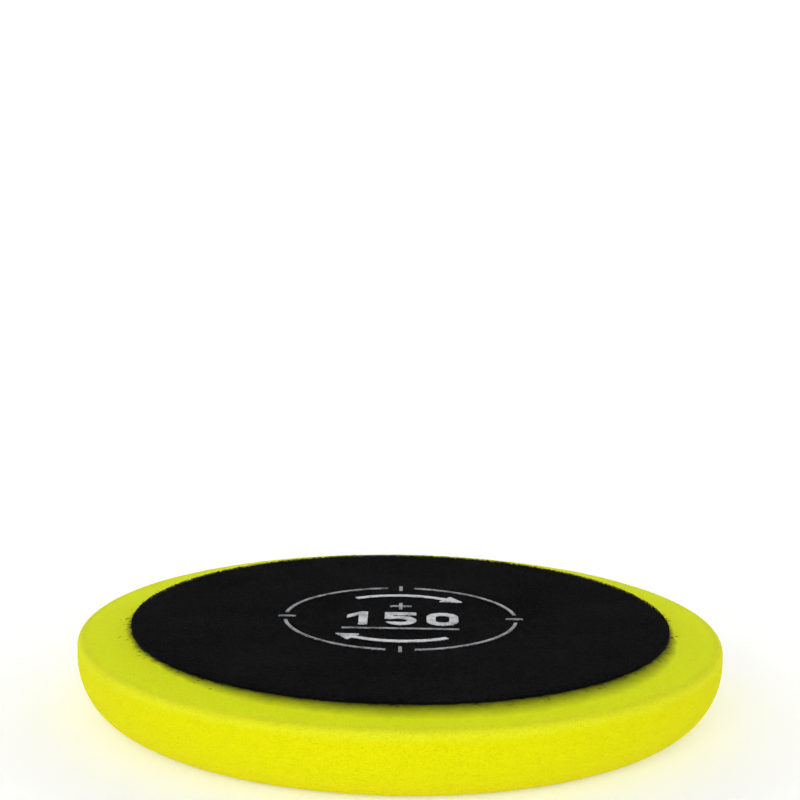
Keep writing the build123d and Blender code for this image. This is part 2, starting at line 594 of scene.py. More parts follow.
        reach.operation = "LENGTH"
        wobble.inputs["Scale"].default_value = 260
        wobble.inputs["Detail"].default_value = 2
        wobble_size.operation = "MULTIPLY_ADD"
        wobble_size.inputs[1].default_value = 1.6 * MM
        wobble_size.inputs[2].default_value = -0.8 * MM
        wobbly_height.operation = "ADD"
        wobbly_reach.operation = "ADD"
        up_wall.interpolation_type = "SMOOTHSTEP"
        up_wall.inputs["From Min"].default_value = 0.5 * MM
        up_wall.inputs["From Max"].default_value = 8 * MM
        on_shoulder.interpolation_type = "SMOOTHSTEP"
        on_shoulder.inputs["From Min"].default_value = self.shoulder_height - 3.2 * MM
        on_shoulder.inputs["From Max"].default_value = self.shoulder_height - 0.4 * MM
        near_ridge.interpolation_type = "SMOOTHSTEP"
        near_ridge.inputs["From Min"].default_value = self.ridge_radius - 3.0 * MM
        near_ridge.inputs["From Max"].default_value = self.ridge_radius - 0.6 * MM
        outward.operation = "NORMALIZE"
        shadow_facing.operation = "DOT_PRODUCT"
        shadow_facing.inputs[1].default_value = self.shadow_side
        front.inputs["From Min"].default_value = 0.35
        front.inputs["From Max"].default_value = 1.0
        shadow_width.operation = "MULTIPLY_ADD"
        shadow_width.inputs[1].default_value = self.extra_shadow_reach
        shadow_width.inputs[2].default_value = self.shadow_and_glue_reach
        past_edge.operation = "SUBTRACT"
        past_edge.inputs[1].default_value = self.backing_radius
        shadow_share.operation = "DIVIDE"
        near_backing.inputs["From Min"].default_value = 1.0
        near_backing.inputs["From Max"].default_value = 0.0
        near_backing.inputs["To Max"].default_value = 0.9
        wall_mix.data_type = "RGBA"
        wall_mix.inputs["A"].default_value = self.base
        wall_mix.inputs["B"].default_value = self.wall
        top_light_mix.data_type = "RGBA"
        top_light_mix.inputs["A"].default_value = self.shoulder
        top_light_mix.inputs["B"].default_value = self.ridge
        zone_mix.data_type = "RGBA"
        shoulder_shadow_share.operation = "MULTIPLY"
        shadow_and_glue_mix.data_type = "RGBA"
        shadow_and_glue_mix.inputs["B"].default_value = self.shadow_and_glue
        bubbles.feature = "F1"
        bubbles.inputs["Scale"].default_value = 1 / self.cell
        burst.feature = "F1"
        burst.inputs["Scale"].default_value = 1 / self.large_cell
        burst_depth.interpolation_type = "SMOOTHSTEP"
        burst_depth.inputs["From Min"].default_value = 0.05
        burst_depth.inputs["From Max"].default_value = 0.60
        fine.inputs["Scale"].default_value = 1.6 / self.cell
        fine.inputs["Detail"].default_value = 3
        marks_scale.inputs["Scale"].default_value = (70, 70, 1300)
        cut_marks.inputs["Scale"].default_value = 1.0
        cut_marks.inputs["Detail"].default_value = 2
        cells_sum.operation = "MULTIPLY_ADD"
        cells_sum.inputs[1].default_value = 1.6
        torn_sum.operation = "MULTIPLY_ADD"
        torn_sum.inputs[1].default_value = 0.9
        relief.operation = "MULTIPLY_ADD"
        relief.inputs[1].default_value = 0.5
        depth.inputs["From Min"].default_value = 2.3
        depth.inputs["From Max"].default_value = 1.2
        depth.inputs["To Max"].default_value = 0.3
        # Painted shade: the colour multiplied in at the bottom of a cell.
        cell_shade_mix.data_type = "RGBA"
        cell_shade_mix.blend_type = "MULTIPLY"
        cell_shade_mix.inputs["B"].default_value = (0.80, 0.72, 0.25, 1)
        bump.inputs["Strength"].default_value = 0.8
        bump.inputs["Distance"].default_value = 0.10 * MM
        shader.inputs["Roughness"].default_value = self.roughness
        shader.inputs["Specular IOR Level"].default_value = 0.03
        shader.inputs["Subsurface Weight"].default_value = 0.2
        shader.inputs["Subsurface Radius"].default_value = (1.0, 0.9, 0.1)
        shader.inputs["Subsurface Scale"].default_value = 1.2 * MM
        shader.inputs["Sheen Weight"].default_value = 0.03
        shader.inputs["Sheen Roughness"].default_value = 0.5
        shader.inputs["Sheen Tint"].default_value = (1.0, 0.98, 0.55, 1)

        tree.links.new(where.outputs["Object"], parts.inputs["Vector"])
        tree.links.new(parts.outputs["X"], level.inputs["X"])
        tree.links.new(parts.outputs["Y"], level.inputs["Y"])
        tree.links.new(level.outputs["Vector"], reach.inputs[0])
        tree.links.new(where.outputs["Object"], wobble.inputs["Vector"])
        tree.links.new(wobble.outputs["Fac"], wobble_size.inputs[0])
        tree.links.new(parts.outputs["Z"], wobbly_height.inputs[0])
        tree.links.new(wobble_size.outputs["Value"], wobbly_height.inputs[1])
        tree.links.new(reach.outputs["Value"], wobbly_reach.inputs[0])
        tree.links.new(wobble_size.outputs["Value"], wobbly_reach.inputs[1])
        tree.links.new(parts.outputs["Z"], up_wall.inputs["Value"])
        tree.links.new(wobbly_height.outputs["Value"], on_shoulder.inputs["Value"])
        tree.links.new(wobbly_reach.outputs["Value"], near_ridge.inputs["Value"])
        tree.links.new(level.outputs["Vector"], outward.inputs[0])
        tree.links.new(outward.outputs["Vector"], shadow_facing.inputs[0])
        tree.links.new(shadow_facing.outputs["Value"], front.inputs["Value"])
        tree.links.new(front.outputs["Result"], shadow_width.inputs[0])
        tree.links.new(wobbly_reach.outputs["Value"], past_edge.inputs[0])
        tree.links.new(past_edge.outputs["Value"], shadow_share.inputs[0])
        tree.links.new(shadow_width.outputs["Value"], shadow_share.inputs[1])
        tree.links.new(shadow_share.outputs["Value"], near_backing.inputs["Value"])
        tree.links.new(up_wall.outputs["Result"], wall_mix.inputs["Factor"])
        tree.links.new(near_ridge.outputs["Result"], top_light_mix.inputs["Factor"])
        tree.links.new(on_shoulder.outputs["Result"], zone_mix.inputs["Factor"])
        tree.links.new(wall_mix.outputs["Result"], zone_mix.inputs["A"])
        tree.links.new(top_light_mix.outputs["Result"], zone_mix.inputs["B"])
        tree.links.new(near_backing.outputs["Result"], shoulder_shadow_share.inputs[0])
        tree.links.new(on_shoulder.outputs["Result"], shoulder_shadow_share.inputs[1])
        tree.links.new(shoulder_shadow_share.outputs["Value"], shadow_and_glue_mix.inputs["Factor"])
        tree.links.new(zone_mix.outputs["Result"], shadow_and_glue_mix.inputs["A"])
        tree.links.new(where.outputs["Object"], bubbles.inputs["Vector"])
        tree.links.new(where.outputs["Object"], burst.inputs["Vector"])
        tree.links.new(where.outputs["Object"], fine.inputs["Vector"])
        tree.links.new(where.outputs["Object"], marks_scale.inputs["Vector"])
        tree.links.new(marks_scale.outputs["Vector"], cut_marks.inputs["Vector"])
        tree.links.new(burst.outputs["Distance"], burst_depth.inputs["Value"])
        tree.links.new(bubbles.outputs["Distance"], cells_sum.inputs[0])
        tree.links.new(burst_depth.outputs["Result"], cells_sum.inputs[2])
        tree.links.new(fine.outputs["Fac"], torn_sum.inputs[0])
        tree.links.new(cells_sum.outputs["Value"], torn_sum.inputs[2])
        tree.links.new(cut_marks.outputs["Fac"], relief.inputs[0])
        tree.links.new(torn_sum.outputs["Value"], relief.inputs[2])
        tree.links.new(torn_sum.outputs["Value"], depth.inputs["Value"])
        tree.links.new(depth.outputs["Result"], cell_shade_mix.inputs["Factor"])
        tree.links.new(shadow_and_glue_mix.outputs["Result"], cell_shade_mix.inputs["A"])
        tree.links.new(relief.outputs["Value"], bump.inputs["Height"])
        tree.links.new(cell_shade_mix.outputs["Result"], shader.inputs["Base Color"])
        tree.links.new(bump.outputs["Normal"], shader.inputs["Normal"])
        tree.links.new(shader.outputs["BSDF"], output.inputs["Surface"])
        return made


@dataclass(frozen=True)
class GlueFinish:
    """The dark adhesive that has been pressed out round the backing, patchy and a little shiny."""

    thin: Colour = (0.040, 0.042, 0.004, 1)
    thick: Colour = (0.006, 0.006, 0.003, 1)
    roughness: float = 0.75

    def material(self) -> bpy.types.Material:
        """Writes the glue's nodes.

        Returns:
            The material.
        """
        made = empty_material("adhesive_film")
        tree = made.node_tree

        patches = tree.nodes.new("NodeFrame")
        patches.label = "Patchy film"
        where = tree.nodes.new("ShaderNodeTexCoord")
        where.label = "Place in the pad"
        where.location = (-900, 0)
        blotches = tree.nodes.new("ShaderNodeTexNoise")
        blotches.label = "Thick and thin patches"
        blotches.location = (-700, 0)
        thickness = tree.nodes.new("ShaderNodeMapRange")
        thickness.label = "How thick"
        thickness.location = (-480, 0)
        mix = tree.nodes.new("ShaderNodeMix")
        mix.label = "Thin to thick glue"
        mix.location = (-260, 0)
        bump = tree.nodes.new("ShaderNodeBump")
        bump.label = "Uneven film"
        bump.location = (-260, -260)
        for node in (where, blotches, thickness, mix, bump):
            node.parent = patches
        shader = tree.nodes.new("ShaderNodeBsdfPrincipled")
        shader.label = "Set glue"
        shader.location = (0, 0)
        output = tree.nodes.new("ShaderNodeOutputMaterial")
        output.label = "Glue"
        output.location = (300, 0)

        blotches.inputs["Scale"].default_value = 900
        blotches.inputs["Detail"].default_value = 3
        thickness.inputs["From Min"].default_value = 0.55
        thickness.inputs["From Max"].default_value = 0.72
        mix.data_type = "RGBA"
        mix.inputs["A"].default_value = self.thick
        mix.inputs["B"].default_value = self.thin
        bump.inputs["Strength"].default_value = 0.5
        bump.inputs["Distance"].default_value = 0.1 * MM
        shader.inputs["Roughness"].default_value = self.roughness
        shader.inputs["Specular IOR Level"].default_value = 0.1

        tree.links.new(where.outputs["Object"], blotches.inputs["Vector"])
        tree.links.new(blotches.outputs["Fac"], thickness.inputs["Value"])
        tree.links.new(thickness.outputs["Result"], mix.inputs["Factor"])
        tree.links.new(blotches.outputs["Fac"], bump.inputs["Height"])
        tree.links.new(mix.outputs["Result"], shader.inputs["Base Color"])
        tree.links.new(bump.outputs["Normal"], shader.inputs["Normal"])
        tree.links.new(shader.outputs["BSDF"], output.inputs["Surface"])
        return made


class Yarn(Enum):
    """Which yarn of the backing a material is for."""

    KNIT = "knitted_ground"
    BED = "brushed_pile"
    LOOP = "loose_loops"


@dataclass(frozen=True)
class YarnFinish:
    """Nearly black nylon yarn, dull, with a faint grey sheen and slow changes of shade over the disc."""

    yarn: Yarn
    dark: Colour = (0.0016, 0.0016, 0.0018, 1)
    pale: Colour = (0.0045, 0.0045, 0.0050, 1)
    grain: float = 0.30 * MM
    relief: float = 0.08 * MM
    sheen: float = 0.01
    shine: float = 0.01
    roughness: float = 0.80

    def material(self) -> bpy.types.Material:
        """Writes the yarn's nodes.

        Returns:
            The material.
        """
        made = empty_material(self.yarn.value)
        tree = made.node_tree

        shades = tree.nodes.new("NodeFrame")
        shades.label = "Shade of the yarn"
        where = tree.nodes.new("ShaderNodeTexCoord")
        where.label = "Place in the pad"
        where.location = (-1100, 0)
        cloud = tree.nodes.new("ShaderNodeTexNoise")
        cloud.label = "Brushed this way and that"
        cloud.location = (-880, 160)
        fleck = tree.nodes.new("ShaderNodeTexNoise")
        fleck.label = "Yarn to yarn"
        fleck.location = (-880, -120)
        both = tree.nodes.new("ShaderNodeMath")
        both.label = "Both together"
        both.location = (-660, 60)
        span = tree.nodes.new("ShaderNodeMapRange")
        span.label = "Dark to pale"
        span.location = (-460, 60)
        mix = tree.nodes.new("ShaderNodeMix")
        mix.label = "Black yarn"
        mix.location = (-240, 100)
        for node in (where, cloud, fleck, both, span, mix):
            node.parent = shades
        twist = tree.nodes.new("NodeFrame")
        twist.label = "Twisted filaments"
        filaments = tree.nodes.new("ShaderNodeTexWave")
        filaments.label = "Filaments"
        filaments.location = (-660, -340)
        bump = tree.nodes.new("ShaderNodeBump")
        bump.label = "Filament relief"
        bump.location = (-240, -300)
        for node in (filaments, bump):
            node.parent = twist
        shader = tree.nodes.new("ShaderNodeBsdfPrincipled")
        shader.label = "Dull nylon"
        shader.location = (0, 100)
        output = tree.nodes.new("ShaderNodeOutputMaterial")
        output.label = "Yarn"
        output.location = (300, 100)

        cloud.inputs["Scale"].default_value = 45
        cloud.inputs["Detail"].default_value = 3
        fleck.inputs["Scale"].default_value = 1 / self.grain
        fleck.inputs["Detail"].default_value = 2
        both.operation = "MULTIPLY_ADD"
        both.inputs[1].default_value = 0.8
        span.inputs["From Min"].default_value = 0.6
        span.inputs["From Max"].default_value = 1.2
        mix.data_type = "RGBA"
        mix.inputs["A"].default_value = self.dark
        mix.inputs["B"].default_value = self.pale
        filaments.inputs["Scale"].default_value = 0.5 / self.grain
        filaments.inputs["Distortion"].default_value = 8
        filaments.inputs["Detail"].default_value = 2
        bump.inputs["Strength"].default_value = 0.6
        bump.inputs["Distance"].default_value = self.relief
        shader.inputs["Roughness"].default_value = self.roughness
        shader.inputs["Specular IOR Level"].default_value = self.shine
        shader.inputs["Sheen Weight"].default_value = self.sheen
        shader.inputs["Sheen Roughness"].default_value = 0.45
        shader.inputs["Sheen Tint"].default_value = (0.55, 0.56, 0.62, 1)

        tree.links.new(where.outputs["Object"], cloud.inputs["Vector"])
        tree.links.new(where.outputs["Object"], fleck.inputs["Vector"])
        tree.links.new(where.outputs["Object"], filaments.inputs["Vector"])
        tree.links.new(cloud.outputs["Fac"], both.inputs[0])
        tree.links.new(fleck.outputs["Fac"], both.inputs[2])
        tree.links.new(both.outputs["Value"], span.inputs["Value"])
        tree.links.new(span.outputs["Result"], mix.inputs["Factor"])
        tree.links.new(filaments.outputs["Fac"], bump.inputs["Height"])
        tree.links.new(mix.outputs["Result"], shader.inputs["Base Color"])
        tree.links.new(bump.outputs["Normal"], shader.inputs["Normal"])
        tree.links.new(shader.outputs["BSDF"], output.inputs["Surface"])
        return made


@dataclass(frozen=True)
class InkFinish:
    """Grey screen ink on the tips of the loops, thin enough that the black yarn shows through in places.

    The two levels are those of the noise at which the yarn is just bare and at which it is fully inked.
    """

    ink: Colour = (0.66, 0.67, 0.69, 1)
    worn: Colour = (0.06, 0.06, 0.065, 1)
    bare_level: float = 0.56
    full_level: float = 0.76
    grain: float = 0.24 * MM
    roughness: float = 0.75

    def material(self, name: str) -> bpy.types.Material:
        """Writes the ink's nodes.

        Args:
            name: The material's name.

        Returns:
            The material.
        """
        made = empty_material(name)
        tree = made.node_tree

        cover = tree.nodes.new("NodeFrame")
        cover.label = "How well the ink covers"
        where = tree.nodes.new("ShaderNodeTexCoord")
        where.label = "Place in the pad"
        where.location = (-1000, 0)
        speckle = tree.nodes.new("ShaderNodeTexNoise")
        speckle.label = "Gaps between filaments"
        speckle.location = (-780, 120)
        patch = tree.nodes.new("ShaderNodeTexNoise")
        patch.label = "Thin patches"
        patch.location = (-780, -140)
        sum_of = tree.nodes.new("ShaderNodeMath")
        sum_of.label = "Gaps and patches"
        sum_of.location = (-560, 40)
        edge = tree.nodes.new("ShaderNodeMapRange")
        edge.label = "Ink or yarn"
        edge.location = (-380, 40)
        mix = tree.nodes.new("ShaderNodeMix")
        mix.label = "Ink over yarn"
        mix.location = (-180, 80)
        bump = tree.nodes.new("ShaderNodeBump")
        bump.label = "Inked filaments"
        bump.location = (-180, -240)
        for node in (where, speckle, patch, sum_of, edge, mix, bump):
            node.parent = cover
        shader = tree.nodes.new("ShaderNodeBsdfPrincipled")
        shader.label = "Dry ink"
        shader.location = (60, 80)
        output = tree.nodes.new("ShaderNodeOutputMaterial")
        output.label = "Ink"
        output.location = (360, 80)

        speckle.inputs["Scale"].default_value = 1 / self.grain
        speckle.inputs["Detail"].default_value = 2
        patch.inputs["Scale"].default_value = 320
        patch.inputs["Detail"].default_value = 2
        sum_of.operation = "MULTIPLY_ADD"
        sum_of.inputs[1].default_value = 0.5
        edge.inputs["From Min"].default_value = self.bare_level
        edge.inputs["From Max"].default_value = self.full_level
        mix.data_type = "RGBA"
        mix.inputs["A"].default_value = self.worn
        mix.inputs["B"].default_value = self.ink
        bump.inputs["Strength"].default_value = 0.7
        bump.inputs["Distance"].default_value = 0.10 * MM
        shader.inputs["Roughness"].default_value = self.roughness
        shader.inputs["Specular IOR Level"].default_value = 0.15

        tree.links.new(where.outputs["Object"], speckle.inputs["Vector"])
        tree.links.new(where.outputs["Object"], patch.inputs["Vector"])
        tree.links.new(patch.outputs["Fac"], sum_of.inputs[0])
        tree.links.new(speckle.outputs["Fac"], sum_of.inputs[2])
        tree.links.new(sum_of.outputs["Value"], edge.inputs["Value"])
        tree.links.new(edge.outputs["Result"], mix.inputs["Factor"])
        tree.links.new(speckle.outputs["Fac"], bump.inputs["Height"])
        tree.links.new(mix.outputs["Result"], shader.inputs["Base Color"])
        tree.links.new(bump.outputs["Normal"], shader.inputs["Normal"])
        tree.links.new(shader.outputs["BSDF"], output.inputs["Surface"])
        return made


@dataclass(frozen=True)
class PaperFinish:
    """The plain pale paper under and round the pad, lit from behind, and most of all at the back."""

    paper: Colour = (0.90, 0.90, 0.90, 1)
    floor_glow: float = 0.25
    wall_glow: float = 0.35
    back_glow: float = 1.00

    def material(self) -> bpy.types.Material:
        """Writes the paper's nodes.

        Returns:
            The material.
        """
        made = empty_material("pale_paper")
        tree = made.node_tree

        glow = tree.nodes.new("NodeFrame")
        glow.label = "Light through the paper"
        where = tree.nodes.new("ShaderNodeTexCoord")
        where.label = "Place in the studio"
        where.location = (-900, -100)
        parts = tree.nodes.new("ShaderNodeSeparateXYZ")
        parts.label = "Depth and height"
        parts.location = (-720, -100)
        wall = tree.nodes.new("ShaderNodeMapRange")
        wall.label = "Up the wall"
        wall.location = (-540, 0)
        back = tree.nodes.new("ShaderNodeMapRange")
        back.label = "Towards the back"
        back.location = (-540, -280)
        total = tree.nodes.new("ShaderNodeMath")
        total.label = "Wall and back"
        total.location = (-340, -100)
        for node in (where, parts, wall, back, total):
            node.parent = glow
        shader = tree.nodes.new("ShaderNodeBsdfPrincipled")
        shader.label = "Matt paper"
        shader.location = (-100, 0)
        output = tree.nodes.new("ShaderNodeOutputMaterial")
        output.label = "Paper"
        output.location = (200, 0)

        wall.interpolation_type = "SMOOTHSTEP"
        wall.inputs["From Min"].default_value = 0.0
        wall.inputs["From Max"].default_value = 0.6
        wall.inputs["To Min"].default_value = self.floor_glow
        wall.inputs["To Max"].default_value = self.wall_glow
        back.interpolation_type = "SMOOTHSTEP"
        back.inputs["From Min"].default_value = 0.4
        back.inputs["From Max"].default_value = 2.0
        back.inputs["To Max"].default_value = self.back_glow
        total.operation = "ADD"
        shader.inputs["Base Color"].default_value = self.paper
        shader.inputs["Roughness"].default_value = 0.95
        shader.inputs["Specular IOR Level"].default_value = 0.05
        shader.inputs["Emission Color"].default_value = (1, 1, 1, 1)

        tree.links.new(where.outputs["Object"], parts.inputs["Vector"])
        tree.links.new(parts.outputs["Z"], wall.inputs["Value"])
        tree.links.new(parts.outputs["Y"], back.inputs["Value"])
        tree.links.new(wall.outputs["Result"], total.inputs[0])
        tree.links.new(back.outputs["Result"], total.inputs[1])
        tree.links.new(total.outputs["Value"], shader.inputs["Emission Strength"])
        tree.links.new(shader.outputs["BSDF"], output.inputs["Surface"])
        return made


# --------------------------------------------------------------------------------------------------
# The foam
# --------------------------------------------------------------------------------------------------


@dataclass
class FoamPad:
    """The foam: a flat working face, an undercut edge, a short wall, a soft ridge and a sloping shoulder.

    A slope is from where a pit's floor ends to where its brim is, in shares of its cell. The hidden insets
    are how far inside the backing's edge the covered rings lie, in millimetres.
    """

    radius: float
    height: float
    backing_radius: float
    undercut_width: float = 11.0 * MM
    undercut_height: float = 13.0 * MM
    shoulder_drop: float = 1.5 * MM
    ridge_rounding: float = 2.0 * MM
    undercut_steps: int = 40
    ridge_steps: int = 16
    grain: float = 0.40 * MM
    finest_gap: float = 0.25 * MM
    pore: float = 0.85 * MM
    pore_depth: float = 0.08 * MM
    pore_slope: Pair = (0.1, 0.75)
    blowhole: float = 2.6 * MM
    blowhole_depth: float = 0.16 * MM
    blowhole_slope: Pair = (0.05, 0.32)
    blowhole_share: float = 0.25
    cut_wander: float = 0.10 * MM
    blade_wave: float = 16 * MM
    hidden_insets: tuple[float, ...] = (0.9, 1.8, 3.5, 7, 14, 28, 44)

    def section(self) -> tuple[np.ndarray, np.ndarray]:
        """The half section, at even steps: out along the face, up the edge, and in over the shoulder.

        The undercut is a quarter of an ellipse and the ridge an arc that meets the wall and the slope evenly.

        Returns:
            The section's distances from the axis and its heights, from the middle of the face to the backing.
        """
        slope = math.atan2(self.shoulder_drop, self.radius - self.backing_radius)
        sweep = np.linspace(0, math.pi / 2 - slope, self.ridge_steps)
        quarter = np.linspace(0, math.pi / 2, self.undercut_steps)
        tangent = self.ridge_rounding * math.tan((math.pi / 2 - slope) / 2)
        arc_base = self.height - self.shoulder_drop - tangent
        face = self.radius - self.undercut_width
        corners_r = [[0.0], face + self.undercut_width * np.sin(quarter)]
        corners_z = [[0.0], self.undercut_height * (1 - np.cos(quarter))]
        corners_r.append(self.radius - self.ridge_rounding * (1 - np.cos(sweep)))
        corners_z.append(arc_base + self.ridge_rounding * np.sin(sweep))
        corners_r.append([self.backing_radius - self.grain])
        corners_z.append([self.height])
        r, z = np.concatenate(corners_r), np.concatenate(corners_z)
        run = np.concatenate([[0], np.cumsum(np.hypot(np.diff(r), np.diff(z)))])
        even = np.linspace(0, run[-1], round(run[-1] / self.grain))
        return np.interp(even, run, r), np.interp(even, run, z)

    def worn(self, points: np.ndarray, normals: np.ndarray) -> np.ndarray:
        """The surface with its pores and cut marks, all of them cut inwards from the smooth shape.

        The depth at a point is a pit that is deepest at the nearest small cell's centre, a wider and rarer
        pit for one large cell in four, a fine layered noise, and a slow noise for the cutting blade's wander.

        Args:
            points: The smooth surface's points.
            normals: The outward normals there.

        Returns:
            The moved points.
        """
        small, _ = cell_distance(points, self.pore, Lattice.PORES)
        large, which = cell_distance(points, self.blowhole, Lattice.BLOWHOLES)
        torn = layered_noise(points, 0.9 * self.pore, Lattice.TORN_FOAM, layers=2)
        wander = layered_noise(points, self.blade_wave, Lattice.BLADE_WANDER)
        holed = which < self.blowhole_share
        depth = self.pore_depth * (1 - eased(small, *self.pore_slope))
        depth += self.blowhole_depth * (1 - eased(large, *self.blowhole_slope)) * holed
        depth += 0.5 * self.pore_depth * (1 + torn) / 2
        depth += self.cut_wander * (1 + wander) / 2
        return points - normals * depth[:, None]

    def build(self, finish: FoamFinish) -> bpy.types.Object:
        """Makes the foam piece.

        Args:
            finish: The foam's finish.

        Returns:
            The piece.
        """
        r, z = self.section()
        counts = ring_sizes(r[1:], self.finest_gap)
        hidden = self.backing_radius - np.array(self.hidden_insets) * MM
        hidden_counts = counts[-1] // 2 ** np.arange(1, len(hidden) + 1)
        r = np.concatenate([r, hidden, [0]])
        z = np.concatenate([z, np.full(len(hidden) + 1, self.height)])
        surface, normals = turned(r, z, np.concatenate([counts, hidden_counts]))
        surface.points = self.worn(surface.points, normals)
        piece = surface.piece("foam_pad", finish.material())
        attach(piece, BODY)
        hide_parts("foam_body")
        return piece


# --------------------------------------------------------------------------------------------------
# The backing
# --------------------------------------------------------------------------------------------------


@dataclass
class GlueLine:
    """The bond film, with the thin uneven line of glue that was pressed out past the cloth's cut edge.

    The insets are how far inside the edge its inner rings lie, in millimetres.
    """

    radius: float
    base: float
    top: float
    squeezed: float = 0.30 * MM
    bead_length: float = 1.6 * MM
    soft_rim: float = 0.8 * MM
    insets: tuple[float, ...] = (24, 12, 6, 3, 1.4, 0.7, 0.3)
    first_ring: int = 18

    def build(self, finish: GlueFinish) -> bpy.types.Object:
        """Makes the film: a flat disc whose rim moves outwards by a noise along its length.

        Args:
            finish: The glue's finish.

        Returns:
            The piece.
        """
        edge = self.radius + 0.5 * self.squeezed
        middle = (self.base + self.top) / 2
        inner = self.radius - np.array(self.insets) * MM
        rings = len(self.insets)
        r = np.concatenate([[0], inner, [edge], inner[::-1], [0]])
        z = np.concatenate([np.full(rings + 1, self.base), [middle], np.full(rings + 1, self.top)])
        outward = self.first_ring * 2 ** np.arange(rings)
        counts = np.concatenate([outward, outward[-1:], outward[::-1]])
        surface, _ = turned(r, z, counts)
        out = np.linalg.norm(surface.points[:, :2], axis=1)
        rim = eased(out, self.radius - self.soft_rim, self.radius)
        beads = layered_noise(surface.points * [1, 1, 0], self.bead_length, Lattice.GLUE_EDGE, layers=2)
        surface.push_out(out, rim * self.squeezed * beads)
        piece = surface.piece("glue_line", finish.material())
        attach(piece, BODY)
        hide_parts("bond_film")
        return piece


@dataclass
class BackingCloth:
    """The knitted ground cloth, with its courses in low relief and a slightly ragged die-cut edge.

    The insets are how far inside the edge the rings of its underside lie, in millimetres.
    """

    radius: float
    base: float
    top: float
    stitch: float = 0.9 * MM
    relief: float = 0.05 * MM
    grain: float = 0.5 * MM
    finest_gap: float = 0.38 * MM
    insets: tuple[float, ...] = (28, 12, 5, 2, 0.8)
    rim_rings: int = 3
    ragged: float = 0.06 * MM
    ragged_length: float = 0.9 * MM
    cut_width: float = 0.1 * MM

    def build(self, finish: YarnFinish, rests_on: bpy.types.Object) -> bpy.types.Object:
        """Makes the cloth: a flat disc, with rows of stitches as the product of two waves across it.

        Args:
            finish: The yarn's finish.
            rests_on: The piece that it lies on; not used.

        Returns:
            The piece.
        """
        steps = np.linspace(0, self.radius, round(self.radius / self.grain))[1:]
        inner = self.radius - np.array(self.insets) * MM
        rings = len(self.insets)
        r = np.concatenate([[0], inner, np.full(self.rim_rings, self.radius), steps[-2::-1], [0]])
        rim_heights = np.linspace(self.base, self.top, self.rim_rings)
        z = np.concatenate([np.full(rings + 1, self.base), rim_heights, np.full(len(steps), self.top)])
        upper = ring_sizes(steps[::-1], self.finest_gap)
        lower = upper[0] // 2 ** np.arange(rings)[::-1]
        counts = np.concatenate([lower, np.full(self.rim_rings - 1, upper[0]), upper])
        surface, _ = turned(r, z, counts)
        x, y = surface.points[:, 0], surface.points[:, 1]
        wave = np.sin(2 * math.pi * x / self.stitch) * np.sin(2 * math.pi * y / self.stitch)
        raised = surface.points[:, 2] > self.top - 0.01 * MM
        surface.points[:, 2] += self.relief * wave * raised
        fray = self.ragged * layered_noise(surface.points, self.ragged_length, Lattice.CLOTH_FRAY, layers=2)
        out = np.linalg.norm(surface.points[:, :2], axis=1)
        surface.push_out(out, fray * (out > self.radius - self.cut_width))
        piece = surface.piece("knitted_backing", finish.material())
        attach(piece, BODY)
        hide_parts("backing_cloth")
        return piece


# --------------------------------------------------------------------------------------------------
# The printed marks
# --------------------------------------------------------------------------------------------------


def bar(x: np.ndarray, y: np.ndarray, centre: Pair, size: Pair) -> np.ndarray:
    """How far each place is outside a rectangle, in metres, and negative inside it.

    Args:
        x, y: The places.
        centre: The rectangle's middle.
        size: Its width and height.

    Returns:
        The distances.
    """
    dx = np.abs(x - centre[0]) - size[0] / 2
    dy = np.abs(y - centre[1]) - size[1] / 2
    outside = np.hypot(np.maximum(dx, 0), np.maximum(dy, 0))
    return outside + np.minimum(np.maximum(dx, dy), 0)


def band(x: np.ndarray, y: np.ndarray, centre: Pair, radius: float, width: float) -> np.ndarray:
    """How far each place is outside a round line of that radius and width, and negative inside it."""
    return np.abs(np.hypot(x - centre[0], y - centre[1]) - radius) - width / 2


def half_plane(x: np.ndarray, y: np.ndarray, through: Pair, outward: Pair) -> np.ndarray:
    """How far each place is past a straight edge, on the side that outward points to."""
    size = math.hypot(*outward)
    return ((x - through[0]) * outward[0] + (y - through[1]) * outward[1]) / size


class Mark(Enum):
    """The marks printed on the loops, each named as its CAD node is."""

    CENTRING_RING = "print_centring_ring"
    QUARTER_TICKS = "print_quarter_ticks"
    TURNING_ARROWS = "print_turning_arrows"
    CENTRE_CROSS = "print_centre_cross"
    SIZE_FIGURES = "print_size_figures"
    RULE = "print_rule"


